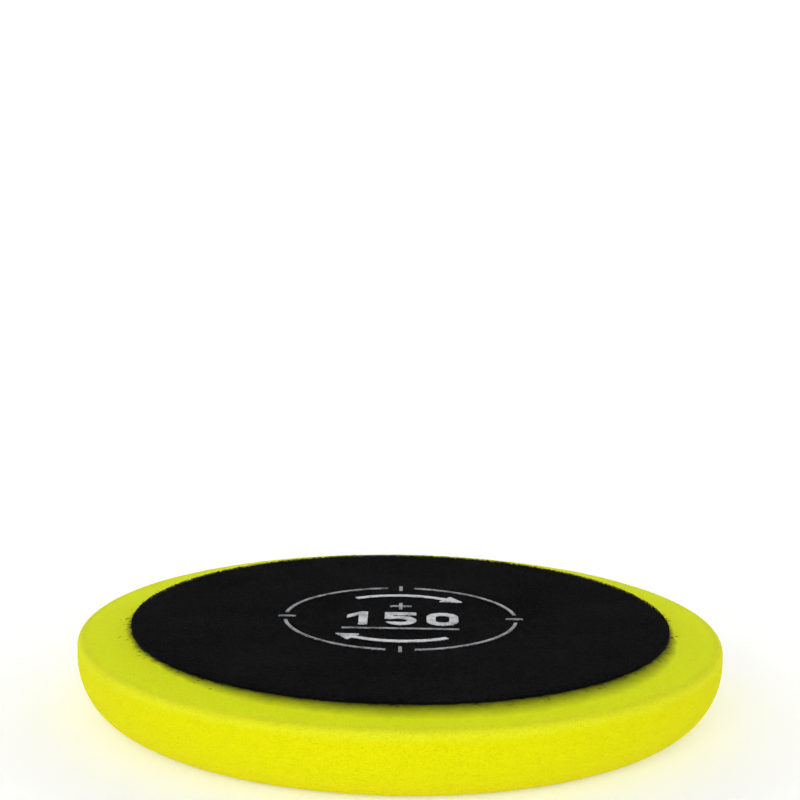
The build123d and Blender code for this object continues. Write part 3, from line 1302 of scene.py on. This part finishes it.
@dataclass
class PrintedMarks:
    """The ink on the loops: a ring with four gaps and ticks, two turning arrows, a cross, a rule and 150.

    A figure's flag reach and mouth height are measured in strokes.
    """

    top: float
    line: float = 0.8 * MM
    ring_radius: float = 27.0 * MM
    ring_gap: float = math.radians(14)
    tick: float = 4.0 * MM
    tick_reach: float = 26.6 * MM
    arrow_radius: float = 20.0 * MM
    arrow_sweep: float = math.radians(64)
    arrow_width: float = 1.5 * MM
    head_length: float = 5.0 * MM
    head_width: float = 5.2 * MM
    cross_height: float = 10.0 * MM
    cross_arm: float = 5.2 * MM
    figure_height: float = 10.6 * MM
    figure_width: float = 7.4 * MM
    figure_stroke: float = 2.1 * MM
    figure_pitch: float = 9.8 * MM
    figure_base: float = -6.4 * MM
    flag_reach: float = 1.3
    flag_share: float = 0.9
    mouth_height: float = 1.5
    mouth_rise: float = 0.3 * MM
    rule_length: float = 27.0 * MM
    rule_height: float = -9.4 * MM
    grid: float = 0.18 * MM
    edge_share: float = 0.35
    thickness: float = 0.25 * MM
    sunk: float = 0.10 * MM
    lumpiness: float = 0.09 * MM
    ragged: float = 0.05 * MM
    ragged_length: float = 0.5 * MM

    def outside(self, mark: Mark, x: np.ndarray, y: np.ndarray) -> np.ndarray:
        """How far each place is outside one mark, in metres, and negative inside it.

        Args:
            mark: Which mark.
            x, y: The places.

        Returns:
            The distances.
        """
        if mark is Mark.CENTRING_RING:
            gap = self.ring_radius * math.sin(self.ring_gap / 2)
            clear = gap - np.minimum(np.abs(x), np.abs(y))
            return np.maximum(band(x, y, (0, 0), self.ring_radius, self.line), clear)
        if mark is Mark.QUARTER_TICKS:
            upright = bar(x, np.abs(y), (0, self.tick_reach), (self.line, self.tick))
            level = bar(np.abs(x), y, (self.tick_reach, 0), (self.tick, self.line))
            return np.minimum(upright, level)
        if mark is Mark.TURNING_ARROWS:
            return np.minimum(self.arrow(x, y), self.arrow(-x, -y))
        if mark is Mark.CENTRE_CROSS:
            level = bar(x, y, (0, self.cross_height), (self.cross_arm, self.line))
            upright = bar(x, y, (0, self.cross_height), (self.line, self.cross_arm))
            return np.minimum(level, upright)
        if mark is Mark.RULE:
            return bar(x, y, (0, self.rule_height), (self.rule_length, self.line))
        middle = y - self.figure_base - self.figure_height / 2
        one = self.figure_one(x + self.figure_pitch, middle)
        five = self.figure_five(x, middle)
        nought = self.figure_nought(x - self.figure_pitch, middle)
        return np.minimum(np.minimum(one, five), nought)

    def arrow(self, x: np.ndarray, y: np.ndarray) -> np.ndarray:
        """The upper arrow: a round line over the top with a three-sided head at its clockwise end.

        Args:
            x, y: The places.

        Returns:
            How far each place is outside it.
        """
        half = self.arrow_sweep / 2
        left = half_plane(x, y, (0, 0), (-math.cos(half), -math.sin(half)))
        right = half_plane(x, y, (0, 0), (math.cos(half), -math.sin(half)))
        shaft = np.maximum(band(x, y, (0, 0), self.arrow_radius, self.arrow_width), np.maximum(left, right))
        ahead = x * math.cos(half) - y * math.sin(half)
        beside = x * math.sin(half) + y * math.cos(half) - self.arrow_radius
        taper = self.head_width / 2 / self.head_length
        slant = (np.abs(beside) - (self.head_length - ahead) * taper) / math.hypot(1, taper)
        return np.minimum(shaft, np.maximum(slant, -ahead))

    def figure_one(self, x: np.ndarray, y: np.ndarray) -> np.ndarray:
        """The figure 1: a stem with a slanting flag at its top.

        Args:
            x, y: The places, from the figure's middle.

        Returns:
            How far each place is outside it.
        """
        top, stroke = self.figure_height / 2, self.figure_stroke
        reach = self.flag_reach * stroke
        stem = bar(x, y, (stroke / 2, 0), (stroke, self.figure_height))
        upper = half_plane(x, y, (0, top), (-1, 1))
        lower = half_plane(x, y, (0, top - self.flag_share * reach), (1, -1))
        flag = np.maximum(np.maximum(upper, lower), np.maximum(-reach - x, x - stroke))
        return np.minimum(stem, flag)

    def figure_five(self, x: np.ndarray, y: np.ndarray) -> np.ndarray:
        """The figure 5: a bar, a short stem and a round bowl that is open on the left.

        Args:
            x, y: The places, from the figure's middle.

        Returns:
            How far each place is outside it.
        """
        top, stroke, width = self.figure_height / 2, self.figure_stroke, self.figure_width
        bowl = width / 2
        stem_height = self.figure_height - width + stroke
        lid = bar(x, y, (0, top - stroke / 2), (width, stroke))
        stem = bar(x, y, (stroke / 2 - bowl, top - stem_height / 2), (stroke, stem_height))
        ring = band(x, y, (0, bowl - top), bowl - stroke / 2, stroke)
        mouth = bar(x, y, (-bowl, bowl - top + self.mouth_rise), (width, self.mouth_height * stroke))
        return np.minimum(np.minimum(lid, stem), np.maximum(ring, -mouth))

    def figure_nought(self, x: np.ndarray, y: np.ndarray) -> np.ndarray:
        """The figure 0: a line of even width round a straight-sided oval.

        Args:
            x, y: The places, from the figure's middle.

        Returns:
            How far each place is outside it.
        """
        straight = (self.figure_height - self.figure_width) / 2
        from_spine = np.hypot(x, np.maximum(np.abs(y) - straight, 0))
        return np.abs(from_spine - (self.figure_width - self.figure_stroke) / 2) - self.figure_stroke / 2

    def outside_all(self, x: np.ndarray, y: np.ndarray) -> np.ndarray:
        """How far each place is outside all the marks."""
        return np.min([self.outside(mark, x, y) for mark in Mark], axis=0)

    def film(self, mark: Mark, pile: "LoopPile") -> Surface:
        """The ink of one mark, as a thin closed film that follows the pile.

        The squares of a level grid whose middles are inside the mark are kept. Each corner that is outside it
        moves back to its edge, along the slope of the distance. The top follows the lumps of the pile, the
        bottom is level, and each open side of a kept square gets a wall.

        Args:
            mark: Which mark.
            pile: The pile that the ink lies on.

        Returns:
            The film's surface.
        """
        low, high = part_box(mark.value)
        nx = math.ceil((high[0] - low[0]) / self.grid) + 3
        ny = math.ceil((high[1] - low[1]) / self.grid) + 3
        gx = low[0] - self.grid + self.grid * np.arange(nx)
        gy = low[1] - self.grid + self.grid * np.arange(ny)
        x, y = [axis.ravel() for axis in np.meshgrid(gx, gy, indexing="ij")]
        inside = self.outside(mark, x + self.grid / 2, y + self.grid / 2).reshape(nx, ny) < 0
        inside[-1, :] = inside[:, -1] = False
        away = self.outside(mark, x, y)
        shift = 0.02 * MM
        slope_x = (self.outside(mark, x + shift, y) - self.outside(mark, x - shift, y)) / (2 * shift)
        slope_y = (self.outside(mark, x, y + shift) - self.outside(mark, x, y - shift)) / (2 * shift)
        level = np.stack([x, y, 0 * x], axis=1)
        ragged = self.ragged * layered_noise(level, self.ragged_length, Lattice.INK_EDGE, layers=2)
        back = np.where(away > -self.edge_share * self.grid, away + ragged, 0)
        x, y = x - slope_x * back, y - slope_y * back
        above = np.stack([x, y, self.top - self.sunk + self.lumpiness * pile.lumps(x, y)], axis=1)
        below = np.stack([x, y, np.full_like(x, self.top - self.thickness)], axis=1)
        points = np.concatenate([above, below])
        i, j = np.nonzero(inside)
        a, b, c, d = i * ny + j, (i + 1) * ny + j, (i + 1) * ny + j + 1, i * ny + j + 1
        under = nx * ny
        quads = [np.stack([a, b, c, d], axis=1), np.stack([a, d, c, b], axis=1) + under]
        grown = np.pad(inside, 1)
        for side, (p, q) in zip(((-1, 0), (1, 0), (0, -1), (0, 1)), ((d, a), (b, c), (a, b), (c, d))):
            bare = ~grown[i + 1 + side[0], j + 1 + side[1]]
            quads.append(np.stack([q[bare], p[bare], p[bare] + under, q[bare] + under], axis=1))
        used, renumbered = np.unique(np.concatenate(quads), return_inverse=True)
        return Surface(points[used], quads=renumbered.reshape(-1, 4))

    def build(self, bold: InkFinish, fine: InkFinish, pile: "LoopPile") -> list[bpy.types.Object]:
        """Makes a piece for each mark.

        Args:
            bold: The finish of the figures and arrows, where the ink is thick.
            fine: The finish of the lines, where it is thin.
            pile: The pile that the ink lies on.

        Returns:
            The pieces.
        """
        thick = bold.material("thick_ink")
        thin = fine.material("thin_ink")
        pieces = []
        for mark in Mark:
            surface = self.film(mark, pile)
            loops = pile.inked_loops(mark, self)
            ink = thick if mark in (Mark.SIZE_FIGURES, Mark.TURNING_ARROWS) else thin
            piece = surface.joined(loops).piece(mark.value.replace("print_", "ink_"), ink)
            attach(piece, BODY)
            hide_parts(mark.value)
            pieces.append(piece)
        return pieces


# --------------------------------------------------------------------------------------------------
# The pile
# --------------------------------------------------------------------------------------------------


def around_axis(out: np.ndarray, turn: np.ndarray, height: np.ndarray) -> np.ndarray:
    """Paths from their distances from the axis, their turns about it and their heights."""
    return np.stack([out * np.cos(turn), out * np.sin(turn), height], axis=2)


def nearly_upright(n: int, draw: np.random.Generator) -> np.ndarray:
    """Upright directions, each one tilted a little by chance."""
    return np.tile([0.0, 0.0, 1.0], (n, 1)) + 0.01 * draw.normal(0, 1, (n, 3))


@dataclass
class LoopPile:
    """The brushed loops: a lumpy bed, loose loops that stand on it, and a fuzzy rim.

    The insets and the values that chance draws from are in millimetres, apart from the scatter of the
    feet, which is a share of the gap between loops.
    """

    radius: float
    base: float
    top: float
    foam: FoamPad

    # The bed
    lump: float = 0.62 * MM
    lump_steepness: float = 1.3
    fine_lump: float = 0.35 * MM
    fine_share: float = 0.25
    bed_grain: float = 0.37 * MM
    bed_gap: float = 0.28 * MM
    bed_top: float = 0.30 * MM
    bed_relief: float = 0.28 * MM
    bed_sunk: float = 0.05 * MM
    bed_insets: tuple[float, ...] = (28, 12, 5, 2, 0.8)
    rolled: float = 0.9 * MM
    edge_wander: float = 0.10 * MM
    edge_wave: float = 1.1 * MM
    edge_width: float = 1.5 * MM

    # The standing loops
    loop_gap: float = 0.64 * MM
    scatter: float = 0.45
    margin: float = 0.25 * MM
    thread: float = 0.050 * MM
    loop_drop: Pair = (0, 0.22)
    loop_lean: float = 0.16
    brushed: Pair = (0.05, -0.10)
    foot_height: float = 0.12 * MM
    spread: float = 0.9 * MM
    inked_spread: float = 0.45 * MM
    inked_inset: float = 0.2 * MM
    clearance: float = 0.12 * MM
    sectors: int = 6

    # The loops that lie on its side
    side_loops: int = 5600
    side_thread: float = 0.040 * MM
    side_inset: float = 0.14 * MM
    side_reach: Pair = (0.10, 0.36)
    side_bow: Pair = (0.10, 0.26)
    side_sag: Pair = (0, 0.16)

    # The cut ends that stick out
    whiskers: int = 1900
    whisker_thread: float = 0.032 * MM
    whisker_root: float = 0.15 * MM
    whisker_length: float = 0.20 * MM
    whisker_extra: float = 0.17
    whisker_longest: float = 1.4
    whisker_curl: float = 0.12 * MM
    whisker_taper: tuple[float, ...] = (1.0, 1.0, 0.9, 0.7, 0.4)

    # The lint on the shoulder
    crumbs: int = 480
    crumb_thread: float = 0.042 * MM
    crumb_length: Pair = (0.15, 1.1)
    crumb_start: float = 0.15 * MM
    crumb_reach: float = 0.7
    crumb_farthest: float = 5
    crumb_taper: tuple[float, ...] = (0.4, 0.9, 1.0, 0.9, 0.4)

    def lumps(self, x: np.ndarray, y: np.ndarray) -> np.ndarray:
        """The pile's lumps: round tufts about the nearest cell centres, with a fine noise on them.

        Args:
            x, y: The places.

        Returns:
            How high the pile is there, from 0 to 1.
        """
        level = np.stack([x, y, np.zeros_like(x)], axis=1)
        near, _ = cell_distance(level, self.lump, Lattice.TUFTS)
        tuft = np.clip(1 - near**2 * self.lump_steepness, 0, 1)
        fine = layered_noise(level, self.fine_lump, Lattice.FINE_TUFTS, layers=2)
        return np.clip((1 - self.fine_share) * tuft + self.fine_share * (1 + fine) / 2, 0, 1)

    def bed(self) -> Surface:
        """The dense lower pile, as a disc whose top is lumpy and whose rim is rolled over.

        Near the rim the top falls as the square root of one less the square of an eased distance.

        Returns:
            The bed's surface.
        """
        steps = np.linspace(0, self.radius, round(self.radius / self.bed_grain))[1:]
        inner = self.radius - np.array(self.bed_insets) * MM
        rings = len(self.bed_insets)
        r = np.concatenate([[0], inner, [self.radius], steps[::-1], [0]])
        under = np.full(rings + 2, self.base - self.bed_sunk)
        z = np.concatenate([under, np.full(len(steps) + 1, self.base)])
        upper = ring_sizes(steps[::-1], self.bed_gap)
        lower = upper[0] // 2 ** np.arange(rings)[::-1]
        surface, _ = turned(r, z, np.concatenate([lower, [upper[0]], upper]))
        x, y, height = surface.points.T
        out = np.hypot(x, y)
        to_rim = eased(out, self.radius - self.rolled, self.radius + 0.02 * MM)
        roll = np.sqrt(np.clip(1 - to_rim**2, 0, 1))
        rise = (self.top - self.base - self.bed_top) - self.bed_relief * (1 - self.lumps(x, y))
        above = height > self.base - 0.01 * MM
        surface.points[:, 2] = np.where(above, self.base + rise * roll, height)
        noise = layered_noise(surface.points * [1, 1, 0], self.edge_wave, Lattice.PILE_EDGE, layers=2)
        near_rim = eased(out, self.radius - self.edge_width, self.radius)
        surface.push_out(out, self.edge_wander * noise * near_rim)
        return surface

    def feet(self) -> np.ndarray:
        """Where the loops stand: the points of a three-way grid over the disc, each one moved by chance.

        Returns:
            The places, one row of two each.
        """
        draw = np.random.default_rng(Draw.FEET)
        rows = math.ceil(2 * self.radius / (self.loop_gap * math.sqrt(3) / 2))
        columns = math.ceil(2 * self.radius / self.loop_gap)
        j, i = np.meshgrid(np.arange(rows), np.arange(columns))
        x = (i + 0.5 * (j % 2)) * self.loop_gap - self.radius
        y = j * self.loop_gap * math.sqrt(3) / 2 - self.radius
        places = np.stack([x.ravel(), y.ravel()], axis=1)
        places += draw.uniform(-self.scatter, self.scatter, places.shape) * self.loop_gap
        return places[np.hypot(*places.T) < self.radius - self.margin]

    def loops(self, feet: np.ndarray, seed: int, spread: float) -> Surface:
        """Small arches of yarn, one at each place.

        An arch runs from foot to foot as a cosine, rises as the square root of a sine, and leans over as a
        sine. Its feet are sunk in the bed.

        Args:
            feet: The middle of each loop's two feet.
            seed: Which random draw the loops' sizes and turns come from.
            spread: The widest that a loop's feet stand apart.

        Returns:
            The loops, as closed threads.
        """
        draw = np.random.default_rng(seed)
        n = len(feet)
        turn = draw.uniform(0, 2 * math.pi, n)
        way = np.stack([np.cos(turn), np.sin(turn), np.zeros(n)], axis=1)
        across = np.stack([-np.sin(turn), np.cos(turn), np.zeros(n)], axis=1)
        wide = draw.uniform(0.5, 1, n) * spread / 2
        high = self.top - self.thread - draw.uniform(*self.loop_drop, n) * MM - self.base
        lean = draw.normal(0, self.loop_lean, (n, 2)) * MM + np.array(self.brushed) * MM
        t = np.linspace(0, 1, THREAD_POINTS)
        rise = np.sqrt(np.sin(math.pi * t).clip(0))
        paths = np.zeros((n, THREAD_POINTS, 3))
        paths[:, :, :2] = feet[:, None, :] + lean[:, None, :] * np.sin(math.pi * t)[:, None]
        paths[:, :, 2] = self.base + self.foot_height + (high - self.foot_height)[:, None] * rise
        paths += way[:, None, :] * (wide[:, None] * np.cos(math.pi * t))[:, :, None]
        out = np.hypot(paths[:, :, 0], paths[:, :, 1])
        past = np.maximum(out - self.radius - self.margin, 0)
        paths[:, :, :2] *= (1 - past / out)[:, :, None]
        thickness = np.full((n, THREAD_POINTS), self.thread) * draw.uniform(0.8, 1.15, (n, 1))
        return threads(paths, across, thickness)

    def inked_loops(self, mark: Mark, marks: PrintedMarks) -> Surface:
        """The loops that carry one mark's ink, narrow and well inside it.

        Args:
            mark: Which mark.
            marks: The marks' shapes.

        Returns:
            The loops, as closed threads.
        """
        feet = self.feet()
        inside = marks.outside(mark, feet[:, 0], feet[:, 1]) < -self.inked_inset
        return self.loops(feet[inside], Draw.INKED_LOOPS, self.inked_spread)

    def shoulder_height(self, out: np.ndarray) -> np.ndarray:
        """The foam's height at a distance from the axis, on the shoulder."""
        fall = self.foam.shoulder_drop / (self.foam.radius - self.foam.backing_radius)
        return self.foam.height - fall * np.maximum(out - self.foam.backing_radius, 0)

    def side(self) -> Surface:
        """Loops that lie on the pile's side, all round the rim, each one bowed outwards and sagging a little.

        An arch runs round the rim as a cosine, and leaves it and sags as a sine.

        Returns:
            The loops, as closed threads.
        """
        draw = np.random.default_rng(Draw.SIDE_LOOPS)
        n = self.side_loops
        turn = draw.uniform(0, 2 * math.pi, (n, 1))
        reach = draw.uniform(*self.side_reach, (n, 1)) * MM
        level = draw.uniform(self.base + 0.02 * MM, self.top - 0.30 * MM, (n, 1))
        t = np.linspace(0, 1, THREAD_POINTS)
        bow = np.sin(math.pi * t)
        along = reach * np.cos(math.pi * t)
        out = self.radius - self.side_inset + draw.uniform(*self.side_bow, (n, 1)) * MM * bow
        tilt = draw.normal(0, 0.7, (n, 1))
        height = level + tilt * along - draw.uniform(*self.side_sag, (n, 1)) * MM * bow
        height = np.clip(height, self.shoulder_height(out) + 0.05 * MM, self.top - 0.15 * MM)
        paths = around_axis(out, turn + along / self.radius, height)
        across = nearly_upright(n, draw)
        thickness = np.full((n, THREAD_POINTS), self.side_thread) * draw.uniform(0.8, 1.2, (n, 1))
        return threads(paths, across, thickness)

    def rim_whiskers(self) -> Surface:
        """Fine cut ends of yarn that stick out all round the rim and droop onto the shoulder.

        A whisker runs straight out at its own angle, with a curl as a sine, and drops by a power of its run.

        Returns:
            The whiskers, as closed threads.
        """
        draw = np.random.default_rng(Draw.WHISKERS)
        n = self.whiskers
        turn = draw.uniform(0, 2 * math.pi, n)
        extra = draw.exponential(self.whisker_extra, n).clip(0, self.whisker_longest)
        length = self.whisker_length + extra * MM
        veer = draw.normal(0, 0.7, n)
        start = draw.uniform(self.base - 0.35 * MM, self.top - 0.25 * MM, n)
        t = np.linspace(0, 1, THREAD_POINTS)
        out = self.radius - self.whisker_root + t * (length * np.cos(veer))[:, None]
        curl = self.whisker_curl * np.sin(math.pi * t) * draw.normal(0, 1, (n, 1))
        aside = t * (length * np.sin(veer))[:, None] + curl
        drop = t**1.6 * draw.uniform(0.2, 1.3, (n, 1)) * length[:, None]
        height = np.maximum(start[:, None] - drop, self.shoulder_height(out) + 0.02 * MM)
        paths = around_axis(out, turn[:, None] + aside / self.radius, height)
        across = nearly_upright(n, draw)
        taper = np.array(self.whisker_taper)
        return threads(paths, across, self.whisker_thread * taper * draw.uniform(0.7, 1.3, (n, 1)))

    def lint(self) -> Surface:
        """Loose crumbs of black yarn that lie on the shoulder, most of them close to the rim.

        A crumb is straight along its own heading and bowed to one side as a parabola.

        Returns:
            The crumbs, as closed threads.
        """
        draw = np.random.default_rng(Draw.LINT)
        n = self.crumbs
        turn = draw.uniform(0, 2 * math.pi, n)
        beyond = draw.exponential(self.crumb_reach, n).clip(0, self.crumb_farthest)
        out = self.radius + self.crumb_start + beyond * MM
        heading = draw.uniform(0, math.pi, n)
        length = draw.uniform(*self.crumb_length, n) ** 1.3 * MM
        t = np.linspace(-0.5, 0.5, THREAD_POINTS)
        curl = draw.normal(0, 0.25, n) * length
        along = t * length[:, None]
        bow = curl[:, None] * (1 - 4 * t**2)
        r = out[:, None] + along * np.cos(heading)[:, None] - bow * np.sin(heading)[:, None]
        aside = along * np.sin(heading)[:, None] + bow * np.cos(heading)[:, None]
        height = self.shoulder_height(r) + 0.01 * MM
        paths = around_axis(r, turn[:, None] + aside / self.radius, height)
        across = np.tile([0.0, 0.0, 1.0], (n, 1))
        taper = np.array(self.crumb_taper)
        return threads(paths, across, self.crumb_thread * taper * draw.uniform(0.6, 1.4, (n, 1)))

    def build(self, bed: YarnFinish, loop: YarnFinish, marks: PrintedMarks) -> list[bpy.types.Object]:
        """Makes the bed, the loops in equal sectors, the side's loops, the whiskers and the lint.

        Args:
            bed: The finish of the dense lower pile.
            loop: The finish of the loose yarn.
            marks: The printed marks, where no black loop may stand.

        Returns:
            The pieces.
        """
        bottom = self.bed().piece("pile_bed", bed.material())
        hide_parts("loop_pile")
        pieces = [bottom]
        yarn = loop.material()
        feet = self.feet()
        feet = feet[marks.outside_all(feet[:, 0], feet[:, 1]) > self.clearance]
        sector = ((np.arctan2(feet[:, 1], feet[:, 0]) / (2 * math.pi)) % 1 * self.sectors).astype(int)
        for k in range(self.sectors):
            part = self.loops(feet[sector == k], Draw.LOOPS + k, self.spread)
            pieces.append(part.piece(f"pile_loops_{k + 1}", yarn))
        pieces.append(self.side().piece("pile_rim_loops", yarn))
        pieces.append(self.rim_whiskers().piece("pile_rim_whiskers", yarn))
        pieces.append(self.lint().piece("pile_lint", yarn))
        for piece in pieces:
            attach(piece, BODY)
        return pieces


# --------------------------------------------------------------------------------------------------
# The studio
# --------------------------------------------------------------------------------------------------


@dataclass
class Studio:
    """A round bowl of pale paper, a soft light and the camera."""

    camera_distance: float = 0.500
    camera_elevation: float = math.radians(17.55)
    camera_pitch: float = math.radians(9.44)
    camera_yaw: float = math.radians(-0.11)
    camera_roll: float = math.radians(0.88)
    lens: float = 94.4
    sensor: float = 36.0
    sky: float = 0.32
    key_watts: float = 8.6
    key_place: tuple[float, float, float] = (-0.18, -1.35, 0.50)
    key_size: Pair = (1.2, 0.7)
    floor_radius: float = 1.7
    wall_height: float = 2.0
    wall_bend: float = 0.8
    bend_steps: int = 24
    inner_ring: float = 0.6
    sides: int = 96
    paper_thickness: float = 0.01

    def camera(self) -> bpy.types.Object:
        """Sets up the camera: in front of the pad, looking slightly down over it.

        Returns:
            The camera.
        """
        data = bpy.data.cameras.new("camera")
        data.sensor_width = self.sensor
        data.lens = self.lens
        data.clip_start = 0.01
        made = bpy.data.objects.new("camera", data)
        bpy.context.scene.collection.objects.link(made)
        level = Vector((0, -math.cos(self.camera_elevation), math.sin(self.camera_elevation)))
        aim = Euler((math.pi / 2 - self.camera_pitch, 0, -self.camera_yaw), "XYZ").to_matrix()
        made.matrix_world = (
            Matrix.Translation(level * self.camera_distance)
            @ aim.to_4x4()
            @ Matrix.Rotation(self.camera_roll, 4, "Z")
        )
        bpy.context.scene.camera = made
        return made

    def lamp(self, name: str, place: Vector, size: Pair, watts: float) -> bpy.types.Object:
        """A soft light that points at the pad.

        Args:
            name: The light's name.
            place: Where it stands.
            size: Its width and height.
            watts: Its power.

        Returns:
            The light.
        """
        data = bpy.data.lights.new(name, "AREA")
        data.shape = "RECTANGLE"
        data.size, data.size_y = size
        data.energy = watts
        made = bpy.data.objects.new(name, data)
        bpy.context.scene.collection.objects.link(made)
        made.location = place
        made.rotation_euler = (-place).to_track_quat("-Z", "Y").to_euler()
        return made

    def sky_light(self) -> None:
        """An even white light from all round."""
        world = bpy.data.worlds.new("studio")
        world.use_nodes = True
        tree = world.node_tree
        tree.nodes.clear()
        background = tree.nodes.new("ShaderNodeBackground")
        background.label = "Even white"
        background.location = (0, 0)
        output = tree.nodes.new("ShaderNodeOutputWorld")
        output.label = "Studio"
        output.location = (220, 0)
        background.inputs["Color"].default_value = (1, 1, 1, 1)
        background.inputs["Strength"].default_value = self.sky
        tree.links.new(background.outputs["Background"], output.inputs["Surface"])
        bpy.context.scene.world = world

    def bowl(self, finish: PaperFinish) -> bpy.types.Object:
        """The paper: flat under the pad, then a quarter circle up into a round wall, open at the top.

        Args:
            finish: The paper's finish.

        Returns:
            The floor.
        """
        quarter = np.linspace(0, math.pi / 2, self.bend_steps)
        outer = self.floor_radius + self.wall_bend
        bend_r = self.floor_radius + self.wall_bend * np.cos(quarter)
        bend_z = self.wall_bend * (1 - np.sin(quarter))
        inside_r = np.concatenate([[outer], bend_r, [self.inner_ring, 0]])
        inside_z = np.concatenate([[self.wall_height], bend_z, [0, 0]])
        below = outer + self.paper_thickness
        r = np.concatenate([[0, below, below], inside_r])
        z = np.concatenate([[-self.paper_thickness, -self.paper_thickness, self.wall_height], inside_z])
        surface, _ = turned(r, z, np.full(len(r) - 2, self.sides))
        floor = surface.piece("paper_bowl", finish.material())
        return floor

    def build(self) -> None:
        """Sets up the paper, the light and the camera."""
        bpy.context.scene.view_settings.view_transform = "Standard"
        self.bowl(PaperFinish())
        self.sky_light()
        self.lamp("key", Vector(self.key_place), self.key_size, self.key_watts)
        self.camera()


def main() -> None:
    """Builds the pad from the foam up, and the studio round it."""
    _, foam_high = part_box("foam_body")
    film_low, film_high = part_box("bond_film")
    cloth_low, cloth_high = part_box("backing_cloth")
    pile_low, pile_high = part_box("loop_pile")
    backing_radius = cloth_high[0]

    Studio().build()
    foam = FoamPad(foam_high[0], foam_high[2], backing_radius + BACKING_LAND)
    foam_piece = foam.build(FoamFinish(backing_radius, foam_high[0], foam_high[2] - foam.shoulder_drop))
    GlueLine(backing_radius, film_low[2] - GLUE_DEPTH, film_high[2]).build(GlueFinish())
    cloth = BackingCloth(backing_radius, cloth_low[2], cloth_high[2])
    cloth.build(YarnFinish(Yarn.KNIT, relief=cloth.relief), foam_piece)
    marks = PrintedMarks(pile_high[2])
    pile = LoopPile(backing_radius, pile_low[2], pile_high[2], foam)
    # Painted light: the loose loops wear a paler copy of the bed's black yarn, for the light they catch on
    # top of the shaded bed.
    lit_loop_yarn = YarnFinish(
        Yarn.LOOP,
        dark=(0.003, 0.003, 0.0033, 1),
        pale=(0.020, 0.020, 0.021, 1),
        grain=0.5 * MM,
        relief=0.02 * MM,
    )
    pile.build(YarnFinish(Yarn.BED), lit_loop_yarn, marks)
    thin_ink = InkFinish(ink=(0.42, 0.43, 0.44, 1), bare_level=0.60, full_level=0.86)
    marks.build(InkFinish(), thin_ink, pile)


if __name__ == "__main__":
    logging.basicConfig(level=logging.INFO, format="%(message)s")
    main()
